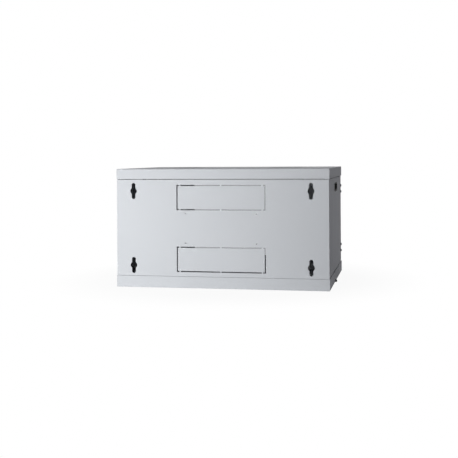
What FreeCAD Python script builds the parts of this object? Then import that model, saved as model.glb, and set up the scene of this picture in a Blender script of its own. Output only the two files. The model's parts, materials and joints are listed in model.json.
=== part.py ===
import FreeCAD, Part
import os
import re

import Sketcher
from FreeCAD import Rotation, Vector

# Wall mount network cabinet for 19 inch equipment, 6 units high.
# Millimetres. +X is the right-hand side seen from the front, the door is at -Y and +Z is up.
# The origin lies on the wall plane (y = 0), at mid width and mid height, which is the middle of
# the four wall keyholes.

# Driving sizes: name, value and what it is. All the rest is worked out from these.
SIZES = [
    ("width", 600, "over the covers' side flanges"),
    ("depth", 450, "wall plane to door face"),
    ("height", 332, "underside to top"),
    ("skin", 1.2, "sheet of covers, panels and door"),
    ("frame_sheet", 1.5, "sheet of uprights and supports"),
    ("top_band", 28.5, "height of the top cover's flanges"),
    ("bottom_band", 32, "height of the bottom cover's flanges"),
    ("seam", 1.5, "gap between the bands and what lies between them"),
    ("rear_foot_gap", 0.6, "gap between the rear panel's foot and the bottom band"),
    ("seam_notch", 3.5, "height of the notches behind the rear seams"),
    ("cover_round", 2, "bend radius along the covers' edges"),
    ("panel_return", 12, "depth of the rear panel's folded edges"),
    ("fold_gap", 1.5, "upper and lower folded edges to the rear uprights"),
    ("rebate", 10, "depth of the side panels' folded edges"),
    ("seat_gap", 0.3, "clearance of a part that lifts off, at its seat"),
    ("keyhole_span", 500, "keyholes apart, sideways"),
    ("keyhole_inset", 62, "top or underside to the middle of a keyhole"),
    ("keyhole_radius", 9.5, "round middle of a keyhole"),
    ("keyhole_slot_radius", 5.5, "half the width of a keyhole's slots"),
    ("keyhole_length", 45, "end to end of a keyhole"),
    ("knockout_width", 248, "cable entry, between the middles of its slits"),
    ("knockout_height", 67.5, "cable entry, between the middles of its slits"),
    ("knockout_inset", 80, "top or underside to the middle of a rear cable entry"),
    ("knockout_setback", 70, "wall plane to the middle of the floor and roof cable entries"),
    ("slit", 3, "width of a cable entry's slits"),
    ("bridge", 4, "width of the bridges that hold a cable entry"),
    ("bridge_inset", 8, "corner of a cable entry to its first bridge"),
    ("pilot_span", 200, "pilot holes apart, sideways"),
    ("pilot_inset", 11.25, "rear cable entry to the pilot holes"),
    ("pilot_radius", 1.9, "pilot holes"),
    ("vent_length", 90, "cover vents"),
    ("vent_radius", 2.5, "half the width of a cover vent"),
    ("vent_pitch", 15, "cover vents, one to the next"),
    ("vent_count", 14, "cover vents in a row"),
    ("vent_offset", 150, "middle of the cabinet to the middle of a cover vent"),
    ("vent_front", 80, "door face to the first cover vent"),
    ("post_lip", 15, "depth of a front upright's inner lip"),
    ("post_side", 14, "side of a front upright that stays in sight"),
    ("post_rebate", 16.5, "flange that a side panel closes on"),
    ("rear_post_face", 35.6, "width of a rear upright's flange on the rear panel"),
    ("support_height", 25.8, "rail supports"),
    ("support_lip", 15, "outer lip of a rail support"),
    ("support_gap", 5, "end of a rail support's channel to an upright"),
    ("rail_sheet", 2, "sheet of the rack rails"),
    ("rail_hole_span", 465.1, "middles of the rack holes apart, sideways"),
    ("rail_hole_inset", 7.55, "inner edge of a rack rail to the middle of its holes"),
    ("rail_share", 0.3615, "part of the room from the rack holes to the side that a rail takes up"),
    ("rail_flange", 42, "depth of a rack rail"),
    ("rail_setback", 80, "door face to the front of the rack rails"),
    ("rail_travel", 100, "how far a rack rail moves back"),
    ("rail_end_gap", 8, "end of a rack rail to the cover's sheet"),
    ("rack_unit", 44.45, "height of one rack unit"),
    ("rack_units", 6, "rack units"),
    ("cage_hole", 9.5, "square rack holes"),
    ("rail_screw_pitch", 20, "clamp screws of a rail apart"),
    ("rail_screw_radius", 3, "M6 clamp screws"),
    ("bolt_play", 0.3, "screw in a plain hole, on the radius"),
    ("thread_play", 0.05, "screw in its thread, on the radius"),
    ("door_gap_side", 2, "door edge inside the covers' sides"),
    ("door_depth", 22, "thickness of the door pan"),
    ("door_air", 4, "door to the front uprights"),
    ("door_lip", 10, "inward lip at the back of the door pan"),
    ("window_inset", 57, "lock's axis to the sight of the glass"),
    ("window_margin", 11.5, "door edge to the sight of the glass, above and below"),
    ("glass_thick", 4, "glass pane"),
    ("glass_lap_side", 10, "glass behind the steel, at the sides"),
    ("glass_lap_end", 8, "glass behind the steel, above and below"),
    ("gasket_wall", 1, "glass gasket, front and back"),
    ("gasket_edge", 1.3, "glass gasket, round the glass's edge"),
    ("retainer_sheet", 1.5, "glass retaining strips"),
    ("retainer_foot", 18, "foot of a retaining strip"),
    ("retainer_air", 0.7, "retaining strip to the gasket's edge"),
    ("stud_radius", 2, "M4 weld studs"),
    ("stud_height", 11, "M4 weld studs"),
    ("stud_inset", 30.75, "end of a retaining strip to its outer weld stud"),
    ("hinge_in", 8, "door edge to the hinge axis"),
    ("hinge_back", 10, "door face to the hinge axis"),
    ("hinge_drop", 39, "top of the door to the middle of the upper hinge"),
    ("hinge_lift", 44.5, "foot of the door to the middle of the lower hinge"),
    ("hinge_screw_pitch", 19, "screws of a hinge apart, up"),
    ("hinge_screw_back", 7, "front of the upright to the hinge screws"),
    ("hinge_screw_radius", 2.5, "M5 hinge screws"),
    ("hinge_head_radius", 4, "heads of the hinge screws"),
    ("hinge_head_height", 3.7, "heads of the hinge screws"),
    ("barrel_radius", 4.5, "hinge barrel"),
    ("barrel_half", 8, "half the height of a hinge barrel"),
    ("barrel_play", 0.5, "hinge barrel to its lugs"),
    ("arm_half", 3.5, "half the thickness of a hinge arm"),
    ("arm_play", 0.8, "hinge arm in the cut-outs that it passes"),
    ("leaf_half", 16, "half the height of a hinge's foot"),
    ("leaf_thick", 4, "hinge's foot"),
    ("lug_thick", 3, "lugs of the door's hinge bracket"),
    ("lug_width", 17.5, "lugs of the door's hinge bracket"),
    ("lug_inset", 1, "hinge bracket to the door's edge"),
    ("lug_past", 1.5, "lugs past the hinge barrel"),
    ("lug_base", 2, "base of the door's hinge bracket"),
    ("lug_base_width", 32, "base of the door's hinge bracket"),
    ("lug_base_half", 15, "half the height of that base"),
    ("pin_radius", 2.5, "hinge pin"),
    ("pin_play", 0.06, "hinge pin in the barrel, on the radius"),
    ("pin_half", 13.5, "half the length of a hinge pin"),
    ("pin_head", 3.6, "radius of a hinge pin's head"),
    ("pin_head_height", 1.5, "head of a hinge pin"),
    ("lock_inset", 20, "right-hand front upright's inner face to the lock's axis"),
    ("lock_flange_radius", 13, "lock's face ring"),
    ("lock_flange", 2.5, "thickness of the lock's face ring"),
    ("lock_body_radius", 9, "lock's threaded body"),
    ("lock_body_length", 20, "lock's threaded body, behind the door face"),
    ("lock_core_radius", 6, "lock cylinder"),
    ("lock_play", 0.05, "lock cylinder in its body, on the radius"),
    ("lock_hole_play", 0.2, "lock body in the door, on the radius"),
    ("lock_shaft_radius", 4, "cylinder's tail, which carries the cam"),
    ("lock_nut_width", 24, "lock nut, across flats"),
    ("lock_nut_height", 4, "lock nut"),
    ("key_slot_width", 1.4, "key slot"),
    ("key_slot_height", 8, "key slot"),
    ("key_slot_depth", 12, "key slot"),
    ("cam_thick", 2, "lock cam"),
    ("cam_reach", 30, "lock's axis to the cam's end"),
    ("cam_half", 7, "half the width of the cam"),
    ("cam_air", 1, "cam to the front upright's face"),
    ("cam_window_play", 3, "cam in the upright's window"),
    ("cam_head_radius", 4.5, "head of the cam screw"),
    ("cam_head_height", 3, "head of the cam screw"),
    ("cam_shank_radius", 2, "cam screw"),
    ("cam_shank_length", 8, "cam screw in the cylinder's tail"),
    ("bumper_radius", 4, "door bumpers"),
    ("bumper_inset", 34.25, "top or foot of the door to a bumper"),
    ("tongue_length", 24, "lower tongues of a side panel"),
    ("tongue_drop", 10, "lower tongues of a side panel"),
    ("tongue_span", 240, "tongues of a side panel apart"),
    ("cup_length", 88, "latch cup, over its rim"),
    ("cup_height", 26, "latch cup, over its rim"),
    ("cup_rim", 1, "rim of the latch cup outside the panel"),
    ("cup_rim_width", 2, "rim of the latch cup beyond its body"),
    ("cup_wall", 1.5, "wall of the latch cup"),
    ("cup_play", 0.1, "latch cup in the panel's cut-out"),
    ("latch_drop", 27.5, "top of the side panel to the middle of its latch"),
    ("latch_shift", 21, "middle of the side panel to its latch, towards the door"),
    ("slider_width", 30, "latch slider"),
    ("slider_thick", 2, "latch slider"),
    ("slider_play", 0.3, "latch slider in its guides"),
    ("slider_foot", 9, "latch slider below the latch's middle"),
    ("slider_top_gap", 1, "latch slider to the keeper, when open"),
    ("latch_travel", 8, "travel of the latch"),
    ("tab_width", 12, "finger tab of the latch"),
    ("tab_height", 5, "finger tab of the latch"),
    ("tab_reach", 7, "finger tab of the latch into its cup"),
    ("guide_wall", 2.5, "guides of the latch slider"),
    ("guide_lip", 1.5, "lips behind the latch slider"),
    ("guide_half", 7, "half the height of the guides"),
    ("keeper_width", 15, "top cover's inward lip at the sides"),
    ("keeper_play", 1, "latch slider in the keeper's slot"),
    ("keeper_end_gap", 12, "keeper lip to the uprights' flanges"),
    ("knob_radius", 3.7, "black screws at the lower edge of the sides"),
    ("knob_height", 5.5, "black screws at the lower edge of the sides"),
    ("knob_rise", 4.6, "underside to those screws"),
    ("knob_shift", 31, "middle of the side panel to those screws, towards the wall"),
    ("knob_shank_radius", 1.5, "M3 shanks of those screws"),
    ("knob_nut_width", 5.5, "M3 nuts, across flats"),
    ("knob_nut_height", 2.4, "M3 nuts"),
    ("knob_nut_room", 5, "cut-out in a rail support round such a nut, from its middle"),
    ("small_nut_height", 3.2, "M4 nuts"),
    ("small_nut_width", 7, "M4 nuts, across flats"),
    ("support_screw_radius", 2.5, "M5 screws through the supports"),
    ("support_head_radius", 4.5, "heads of the support screws"),
    ("support_head_height", 2.6, "heads of the support screws"),
    ("middle_nut_width", 8, "M5 nuts, across flats"),
    ("middle_nut_height", 4, "M5 nuts"),
    ("large_nut_width", 10, "M6 nuts, across flats"),
    ("large_nut_height", 5, "M6 nuts"),
    ("rail_head_radius", 6, "heads of the clamp screws"),
    ("rail_head_height", 3.6, "heads of the clamp screws"),
    ("nut_past", 1.5, "thread that shows past a nut"),
    ("earth_inset", 83.8, "left side's sheet to the earth stud"),
    ("earth_setback", 45, "wall plane to the earth stud"),
    ("earth_radius", 3, "M6 earth stud"),
    ("earth_height", 22, "earth stud"),
    ("washer_radius", 6, "earth washers"),
    ("washer_thick", 1.6, "earth washers"),
]

# Places worked out from the sizes. x, y and z places lie on the axes of the cabinet's frame, and
# those named without a side are for the right-hand side, where x is positive.
PLACES = {
    "half": "width / 2",
    "top": "height / 2",
    "roof": "top - skin",
    "floor": "skin - top",
    "band_top": "top - top_band",
    "band_bottom": "bottom_band - top",
    "bay_top": "band_top - seam",
    "bay_bottom": "band_bottom + seam",
    "bay_middle": "(bay_top + bay_bottom) / 2",
    "rear_foot": "band_bottom + rear_foot_gap",
    "inner": "half - skin",
    "rack_hole": "rail_hole_span / 2",
    "post_front": "door_depth + door_air - depth",
    "post_back": "post_front + post_side",
    "web_inner": "rack_hole + (inner - rack_hole) * rail_share",
    "post_inner": "web_inner + frame_sheet",
    "seat": "inner - rebate - seat_gap",
    "rear_seat_end": "- panel_return - post_rebate + frame_sheet",
    "panel_front": "post_back + seam",
    "panel_rear": "- panel_return - seam",
    "panel_middle": "(panel_front + panel_rear) / 2",
    "keyhole_rise": "top - keyhole_inset",
    "knockout_rise": "top - knockout_inset",
    "pilot_rise": "knockout_rise - knockout_height / 2 - pilot_inset",
    "rail_edge": "rack_hole - rail_hole_inset",
    "rail_front": "rail_setback - depth",
    "rail_screw": "rail_front + rail_flange / 2",
    "support_middle": "roof - support_height / 2",
    "rack_bottom": "bay_middle - rack_unit * rack_units / 2",
    "door_half": "half - door_gap_side",
    "door_back": "door_depth - depth",
    "door_inside": "skin - depth",
    "window_half": "lock_place - window_inset",
    "window_top": "bay_top - window_margin",
    "window_bottom": "bay_bottom + window_margin",
    "glass_front": "door_inside + gasket_wall",
    "glass_back": "glass_front + glass_thick",
    "gasket_back": "glass_back + gasket_wall",
    "glass_half": "window_half + glass_lap_side",
    "glass_top": "window_top + glass_lap_end",
    "glass_bottom": "window_bottom - glass_lap_end",
    "strip_start": "glass_half + gasket_edge + retainer_air",
    "stud_rise": "(glass_top - glass_bottom) / 2 - stud_inset",
    "stud_place": "strip_start + retainer_sheet + retainer_foot / 2",
    "hinge_place": "door_half - hinge_in",
    "hinge_upper": "bay_top - hinge_drop",
    "hinge_lower": "bay_bottom + hinge_lift",
    "hinge_depth": "hinge_back - depth",
    "hinge_screw_depth": "post_front + hinge_screw_back",
    "leaf_inner": "inner - frame_sheet - leaf_thick",
    "lug_start": "barrel_half + barrel_play",
    "lock_place": "post_inner - lock_inset",
    "lock_end": "lock_body_length - depth",
    "cam_front": "post_front + frame_sheet + cam_air",
    "cam_back": "cam_front + cam_thick",
    "latch_middle": "bay_top - latch_drop",
    "latch_place": "panel_middle - latch_shift",
    "knob_place": "panel_middle + knob_shift",
    "cup_floor": "inner - rebate",
    "slider_face": "cup_floor - slider_play",
    "slider_back": "slider_face - slider_thick",
    "slider_top": "band_top - slider_top_gap",
    "keeper_inner": "inner - keeper_width",
    "tongue_outer": "inner - skin",
}

doc = FreeCAD.newDocument("NetworkCabinet")
sheet = doc.addObject("Spreadsheet::Sheet", "Sizes")
for row, (alias, number, meaning) in enumerate(SIZES, start=1):
    sheet.set(f"A{row}", alias)
    sheet.set(f"B{row}", str(number))
    sheet.set(f"C{row}", meaning)
    sheet.setAlias(f"B{row}", alias)
doc.recompute()

ALIASES = {alias for alias, number, meaning in SIZES}


def ex(text):
    """An expression for the document, with each size and place spelled out."""

    def spell(match):
        word = match.group(0)
        if word in ALIASES:
            return "Sizes." + word
        if word in PLACES:
            return "(" + ex(PLACES[word]) + ")"
        raise ValueError(f"no size or place is named {word}")

    return re.sub(r"[a-z_]+", spell, str(text))


def value(text):
    """The number that an expression gives now."""
    return float(sheet.evalExpression(ex(text)))


def across(side, near, far):
    """The span between two distances from the middle, on the left (-1) or the right (1)."""
    return (f"-({far})", f"-({near})") if side < 0 else (near, far)


def at(side, distance):
    """A distance from the middle, on the left (-1) or the right (1)."""
    return f"{side} * ({distance})"


def label(thing, name):
    thing.Label = name
    return thing


# Part primitives and booleans, bound to the sheet.

TURN = {
    "x": Rotation(Vector(0, 1, 0), 90),
    "y": Rotation(Vector(1, 0, 0), -90),
    "z": Rotation(),
}
AXES = ("x", "y", "z")


def place(thing, point):
    for axis, text in zip(AXES, point):
        thing.setExpression(f"Placement.Base.{axis}", ex(text))


def box(x, y, z, name="Block"):
    """A block that fills a span on each axis."""
    block = doc.addObject("Part::Box", name)
    for size, (low, high) in zip(("Length", "Width", "Height"), (x, y, z)):
        block.setExpression(size, ex(f"({high}) - ({low})"))
    place(block, [span[0] for span in (x, y, z)])
    return block


def rod(along, point, radius, span, name="Rod"):
    """A cylinder round an axis through a point, filling a span along it."""
    cylinder = doc.addObject("Part::Cylinder", name)
    cylinder.Placement.Rotation = TURN[along]
    cylinder.setExpression("Radius", ex(radius))
    cylinder.setExpression("Height", ex(f"({span[1]}) - ({span[0]})"))
    place(cylinder, [span[0] if axis == along else text for axis, text in zip(AXES, point)])
    return cylinder


def hexagon(along, point, flats, span, name="Hexagon"):
    """A hexagonal prism round an axis through a point, filling a span along it."""
    prism = doc.addObject("Part::Prism", name)
    prism.Polygon = 6
    prism.Placement.Rotation = TURN[along]
    prism.setExpression("Circumradius", f"({ex(flats)}) / 2 / cos(30 deg)")
    prism.setExpression("Height", ex(f"({span[1]}) - ({span[0]})"))
    place(prism, [span[0] if axis == along else text for axis, text in zip(AXES, point)])
    return prism


def fuse(pieces, name="Whole"):
    if len(pieces) == 1:
        return pieces[0]
    whole = doc.addObject("Part::MultiFuse", name)
    whole.Shapes = pieces
    whole.Refine = True
    return whole


def cut(base, tools, name="Cut"):
    result = doc.addObject("Part::Cut", name)
    result.Base = base
    result.Tool = fuse(tools, name + "Tools")
    result.Refine = True
    return result


def group(pieces, name):
    """Separate solids that share a node."""
    several = doc.addObject("Part::Compound", name)
    several.Links = pieces
    return several


def stadium(along, point, radius, length, span, name="Stadium"):
    """A bar with round ends: its ends lie along z or y, and it fills a span on the axis named."""
    depth_axis, run_axis = along
    reach = f"(({length}) / 2 - ({radius}))"
    places = dict(zip(AXES, point))
    spans = {}
    for axis in AXES:
        half = reach if axis == run_axis else f"({radius})"
        spans[axis] = (f"({places[axis]}) - {half}", f"({places[axis]}) + {half}")
    spans[depth_axis] = span
    pieces = [box(spans["x"], spans["y"], spans["z"])]
    for sign in ("-", "+"):
        end = dict(places)
        end[run_axis] = f"({places[run_axis]}) {sign} {reach}"
        pieces.append(rod(depth_axis, [end[axis] for axis in AXES], radius, span))
    return fuse(pieces, name)


# Bodies, with sketches and features bound to the sheet.

ROLE = {"x": "YZ_Plane", "y": "XZ_Plane", "z": "XY_Plane"}


def body(name):
    return label(doc.addObject("PartDesign::Body", "Body_" + name), name)


def polygon(sketch, points):
    """A closed loop of lines, with each corner held by its distances from the sketch's origin."""
    start = sketch.GeometryCount
    corners = [Vector(value(u), value(v), 0) for u, v in points]
    count = len(points)
    for i in range(count):
        sketch.addGeometry(Part.LineSegment(corners[i], corners[(i + 1) % count]))
    for i in range(count):
        sketch.addConstraint(
            Sketcher.Constraint("Coincident", start + i, 2, start + (i + 1) % count, 1)
        )
    for i, (u, v) in enumerate(points):
        for kind, text, number in (("DistanceX", u, corners[i].x), ("DistanceY", v, corners[i].y)):
            index = sketch.addConstraint(Sketcher.Constraint(kind, -1, 1, start + i, 1, number))
            sketch.setExpression(f"Constraints[{index}]", ex(text))


def rectangle(sketch, u, v):
    polygon(sketch, [(u[0], v[0]), (u[1], v[0]), (u[1], v[1]), (u[0], v[1])])


def circle(sketch, u, v, radius):
    start = sketch.GeometryCount
    middle = Vector(value(u), value(v), 0)
    sketch.addGeometry(Part.Circle(middle, Vector(0, 0, 1), value(radius)))
    for kind, text, number in (("DistanceX", u, middle.x), ("DistanceY", v, middle.y)):
        index = sketch.addConstraint(Sketcher.Constraint(kind, -1, 1, start, 3, number))
        sketch.setExpression(f"Constraints[{index}]", ex(text))
    index = sketch.addConstraint(Sketcher.Constraint("Radius", start, value(radius)))
    sketch.setExpression(f"Constraints[{index}]", ex(radius))


def slot(sketch, u, v, length, radius):
    """A level slot with round ends, by its middle, its length over the ends and its radius."""
    start = sketch.GeometryCount
    x, y, r = value(u), value(v), value(radius)
    reach = value(length) / 2 - r
    up, down = Vector(0, r, 0), Vector(0, -r, 0)
    left, right = Vector(x - reach, y, 0), Vector(x + reach, y, 0)
    sketch.addGeometry(Part.LineSegment(left + down, right + down))
    sketch.addGeometry(Part.Arc(right + down, right + Vector(r, 0, 0), right + up))
    sketch.addGeometry(Part.LineSegment(right + up, left + up))
    sketch.addGeometry(Part.Arc(left + up, left - Vector(r, 0, 0), left + down))
    for i in range(4):
        sketch.addConstraint(Sketcher.Constraint("Tangent", start + i, 2, start + (i + 1) % 4, 1))
    sketch.addConstraint(Sketcher.Constraint("Horizontal", start))
    sketch.addConstraint(Sketcher.Constraint("Horizontal", start + 2))
    held = [
        (Sketcher.Constraint("Radius", start + 1, r), radius),
        (
            Sketcher.Constraint("DistanceX", -1, 1, start + 3, 3, left.x),
            f"({u}) - ({length}) / 2 + ({radius})",
        ),
        (
            Sketcher.Constraint("DistanceX", -1, 1, start + 1, 3, right.x),
            f"({u}) + ({length}) / 2 - ({radius})",
        ),
        (Sketcher.Constraint("DistanceY", -1, 1, start + 1, 3, y), v),
    ]
    for constraint, text in held:
        index = sketch.addConstraint(constraint)
        sketch.setExpression(f"Constraints[{index}]", ex(text))


def drawing(owner, along, span, loops, name):
    """A sketch across an axis, at the end of a span from which a feature fills the span."""
    sketch = owner.newObject("Sketcher::SketchObject", name + "Sketch")
    plane = next(f for f in owner.Origin.OriginFeatures if f.Role == ROLE[along])
    sketch.AttachmentSupport = [(plane, "")]
    sketch.MapMode = "FlatFace"
    offset = f"-({span[1]})" if along == "y" else span[0]
    sketch.setExpression("AttachmentOffset.Base.z", ex(offset))
    for shape, *numbers in loops:
        shape(sketch, *numbers)
    return sketch


def pad(owner, along, span, loops, name="Pad"):
    """Adds what the loops bound, over a span of the axis."""
    sketch = drawing(owner, along, span, loops, name)
    feature = owner.newObject("PartDesign::Pad", name)
    feature.Profile = sketch
    feature.setExpression("Length", ex(f"({span[1]}) - ({span[0]})"))
    sketch.Visibility = False
    doc.recompute()
    return feature


def pocket(owner, along, span, loops, name="Pocket"):
    """Takes away what the loops bound, over a span of the axis."""
    before = owner.Shape.Volume
    sketch = drawing(owner, along, span, loops, name)
    feature = owner.newObject("PartDesign::Pocket", name)
    feature.Profile = sketch
    feature.setExpression("Length", ex(f"({span[1]}) - ({span[0]})"))
    feature.Reversed = True
    doc.recompute()
    if not owner.Shape.Volume < before:
        raise RuntimeError(f"{owner.Label}: {name} cuts nothing")
    return feature


def repeat(owner, feature, pitch, count, axis="V_Axis", name="Pattern"):
    """Copies of a feature at equal steps along its sketch's upright or level axis."""
    pattern = owner.newObject("PartDesign::LinearPattern", name)
    pattern.Originals = [feature]
    pattern.Direction = (feature.Profile[0], [axis])
    pattern.setExpression("Length", ex(f"({pitch}) * (({count}) - 1)"))
    pattern.setExpression("Occurrences", ex(count))
    owner.Tip = pattern
    doc.recompute()
    return pattern


def soften(owner, radius, wanted, name="Bend"):
    """Rounds the edges of the body's last feature that a test picks."""
    base = owner.Tip
    names = [
        f"Edge{i}" for i, edge in enumerate(base.Shape.Edges, start=1) if wanted(edge.BoundBox)
    ]
    feature = owner.newObject("PartDesign::Fillet", name)
    feature.Base = (base, names)
    feature.setExpression("Radius", ex(radius))
    doc.recompute()
    return feature


def knockout(u, v, wide, high):
    """The slits round a cable entry: two brackets at its ends and four runs between the bridges."""
    run, rise = f"({wide}) / 2", f"({high}) / 2"
    out, within = f"{run} + slit / 2", f"{run} - slit / 2"
    high_out, high_in = f"{rise} + slit / 2", f"{rise} - slit / 2"
    stub = f"{run} - bridge_inset + bridge / 2"
    far = f"{run} - bridge_inset - bridge / 2"
    loops = []
    for s in (-1, 1):
        bracket = [
            (stub, high_out), (out, high_out), (out, f"-({high_out})"), (stub, f"-({high_out})"),
            (stub, f"-({high_in})"), (within, f"-({high_in})"), (within, high_in), (stub, high_in),
        ]
        loops.append((polygon, [(f"({u}) + {s} * ({a})", f"({v}) + {b}") for a, b in bracket]))
        for t in (-1, 1):
            us = [f"({u}) + {s} * ({a})" for a in ("bridge / 2", far)]
            vs = [f"({v}) + {t} * ({b})" for b in (high_in, high_out)]
            loops.append((rectangle, us, vs))
    return loops


# Covers

def make_cover(name, upper):
    """A shallow pan with four flanges: the roof or the floor of the cabinet."""
    cover = body(name)
    whole = ("band_top", "top") if upper else ("-(top)", "band_bottom")
    hollow = ("band_top", "roof") if upper else ("floor", "band_bottom")
    sheet_span = ("roof", "top") if upper else ("-(top)", "floor")
    lip = ("band_top", "band_top + skin") if upper else ("band_bottom - skin", "band_bottom")
    pad(cover, "z", whole, [(rectangle, ("-(half)", "half"), ("-(depth)", "0"))])
    outer = value("top") if upper else -value("top")
    soften(cover, "cover_round", lambda b: abs(b.ZMin - outer) < 0.01 and abs(b.ZMax - outer) < 0.01)
    pocket(cover, "z", hollow, [(rectangle, ("-(inner)", "inner"), ("-(depth) + skin", "-(skin)"))])
    front_lip = (rectangle, ("-(inner)", "inner"), ("-(depth) + skin", "post_front"))
    pad(cover, "z", lip, [front_lip], "FrontLip")
    if upper:
        for side in (-1, 1):
            lip_span = (at(side, "keeper_inner"), at(side, "inner"))
            run = ("post_back + post_rebate + keeper_end_gap", "rear_seat_end - keeper_end_gap")
            pad(cover, "z", lip, [(rectangle, lip_span, run)], "KeeperLip")
            slot_x = (at(side, "slider_back - keeper_play"), at(side, "slider_face + keeper_play / 2"))
            slot_y = (
                "latch_place - slider_width / 2 - keeper_play",
                "latch_place + slider_width / 2 + keeper_play",
            )
            pocket(cover, "z", lip, [(rectangle, slot_x, slot_y)], "KeeperSlot")
    else:
        for side in (-1, 1):
            hole = (circle, "knob_place", "knob_rise - top", "knob_shank_radius + bolt_play")
            flange = across(side, "inner", "half")
            pocket(cover, "x", flange, [hole], "KnobHole")
    entry = knockout("0", "-(knockout_setback)", "knockout_width", "knockout_height")
    pocket(cover, "z", sheet_span, entry, "CableEntry")
    first = [
        (slot, at(side, "vent_offset"), "vent_front - depth", "vent_length", "vent_radius")
        for side in (-1, 1)
    ]
    row = pocket(cover, "z", sheet_span, first, "Vent")
    repeat(cover, row, "vent_pitch", "vent_count")
    return cover


# Rear panel

def make_rear_panel():
    """The wall side: keyholes, two cable entries and four pilot holes in a pan with folded edges."""
    panel = body("rear_pan")
    face = ("-(skin)", "0")
    upright = ("rear_foot", "bay_top")
    pad(panel, "y", ("-(panel_return)", "0"), [(rectangle, ("-(inner)", "inner"), upright)])
    fold = "inner - skin - rear_post_face - fold_gap"
    run = [("inner - skin", "rear_foot"), ("inner - skin", "bay_top"), (fold, "bay_top"),
           (fold, "bay_top - skin")]
    back = [(f"-({u})", v) for u, v in reversed(run)]
    lower = [("-(inner) + skin", "rear_foot"), (f"-({fold})", "rear_foot"),
             (f"-({fold})", "rear_foot + skin"), (fold, "rear_foot + skin"), (fold, "rear_foot")]
    pocket(panel, "y", ("-(panel_return)", "-(skin)"), [(polygon, run + back[:-1] + lower)], "Hollow")
    entries = []
    for s in (-1, 1):
        entries += knockout("0", at(s, "knockout_rise"), "knockout_width", "knockout_height")
    pocket(panel, "y", face, entries, "CableEntries")
    holes = [
        (circle, at(s, "pilot_span / 2"), at(t, "pilot_rise"), "pilot_radius")
        for s in (-1, 1)
        for t in (-1, 1)
    ]
    pocket(panel, "y", face, holes, "PilotHoles")
    keyholes = []
    for s in (-1, 1):
        for t in (-1, 1):
            middle = (at(s, "keyhole_span / 2"), "0", at(t, "keyhole_rise"))
            through = ("-(panel_return)", "skin")
            keyholes.append(
                stadium("yz", middle, "keyhole_slot_radius", "keyhole_length", through)
            )
            keyholes.append(rod("y", middle, "keyhole_radius", through))
    return label(cut(panel, keyholes, "RearPanelCut"), "rear_panel")


# Frame

def make_front_upright(side, name):
    """A folded post: face, inner lip, side and a flange that the side panel closes on."""
    section = [
        ("inner", "post_front"),
        ("post_inner", "post_front"),
        ("post_inner", "post_front + post_lip"),
        ("post_inner + frame_sheet", "post_front + post_lip"),
        ("post_inner + frame_sheet", "post_front + frame_sheet"),
        ("inner - frame_sheet", "post_front + frame_sheet"),
        ("inner - frame_sheet", "post_back - frame_sheet"),
        ("seat - frame_sheet", "post_back - frame_sheet"),
        ("seat - frame_sheet", "post_back + post_rebate - frame_sheet"),
        ("seat", "post_back + post_rebate - frame_sheet"),
        ("seat", "post_back"),
        ("inner", "post_back"),
    ]
    post = body(name)
    outline = (polygon, [(at(side, u), v) for u, v in section])
    pad(post, "z", ("floor", "roof"), [outline], "Section")
    if side < 0:
        for height in ("hinge_upper", "hinge_lower"):
            window_x = (
                at(side, "hinge_place + arm_half + arm_play"),
                at(side, "hinge_place - arm_half - arm_play"),
            )
            window_z = (f"{height} - barrel_half - arm_play", f"{height} + barrel_half + arm_play")
            face = ("post_front", "post_front + frame_sheet")
            pocket(post, "y", face, [(rectangle, window_x, window_z)], "HingeWindow")
            radius = "hinge_screw_radius + bolt_play"
            screws = [
                (circle, "hinge_screw_depth", f"{height} + {t} * hinge_screw_pitch / 2", radius)
                for t in (-1, 1)
            ]
            wall = across(side, "inner - frame_sheet", "inner")
            pocket(post, "x", wall, screws, "HingeScrewHoles")
    else:
        window_y = ("post_front + frame_sheet", "cam_back + cam_air + cam_head_height")
        window_z = (
            "bay_middle - cam_reach - cam_window_play",
            "bay_middle + cam_half + cam_window_play",
        )
        lip = ("post_inner", "post_inner + frame_sheet")
        pocket(post, "x", lip, [(rectangle, window_y, window_z)], "CamWindow")
    holes = [
        (circle, "post_front + post_lip / 2", at(t, "support_middle"), "support_screw_radius + bolt_play")
        for t in (-1, 1)
    ]
    pocket(post, "x", across(side, "post_inner", "post_inner + frame_sheet"), holes, "SupportHoles")
    return post


def make_rear_upright(side, name):
    """A folded post in a rear corner, notched behind the seams, that the side panel closes on."""
    corner = "inner - skin"
    section = [
        (corner, "-(skin)"),
        (f"{corner} - rear_post_face", "-(skin)"),
        (f"{corner} - rear_post_face", "-(skin) - frame_sheet"),
        (f"{corner} - frame_sheet", "-(skin) - frame_sheet"),
        (f"{corner} - frame_sheet", "-(panel_return) + frame_sheet"),
        ("seat - frame_sheet", "-(panel_return) + frame_sheet"),
        ("seat - frame_sheet", "rear_seat_end"),
        ("seat", "rear_seat_end"),
        ("seat", "-(panel_return)"),
        (corner, "-(panel_return)"),
    ]
    post = body(name)
    outline = (polygon, [(at(side, u), v) for u, v in section])
    pad(post, "z", ("floor", "roof"), [outline], "Section")
    flange_x = across(side, f"{corner} - rear_post_face", f"{corner} - frame_sheet")
    for seam_middle in ("band_top - seam / 2", "band_bottom + seam / 2"):
        notch = (f"{seam_middle} - seam_notch / 2", f"{seam_middle} + seam_notch / 2")
        flange_y = ("-(skin) - frame_sheet", "-(skin)")
        pocket(post, "y", flange_y, [(rectangle, flange_x, notch)], "SeamNotch")
    return post


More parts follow.
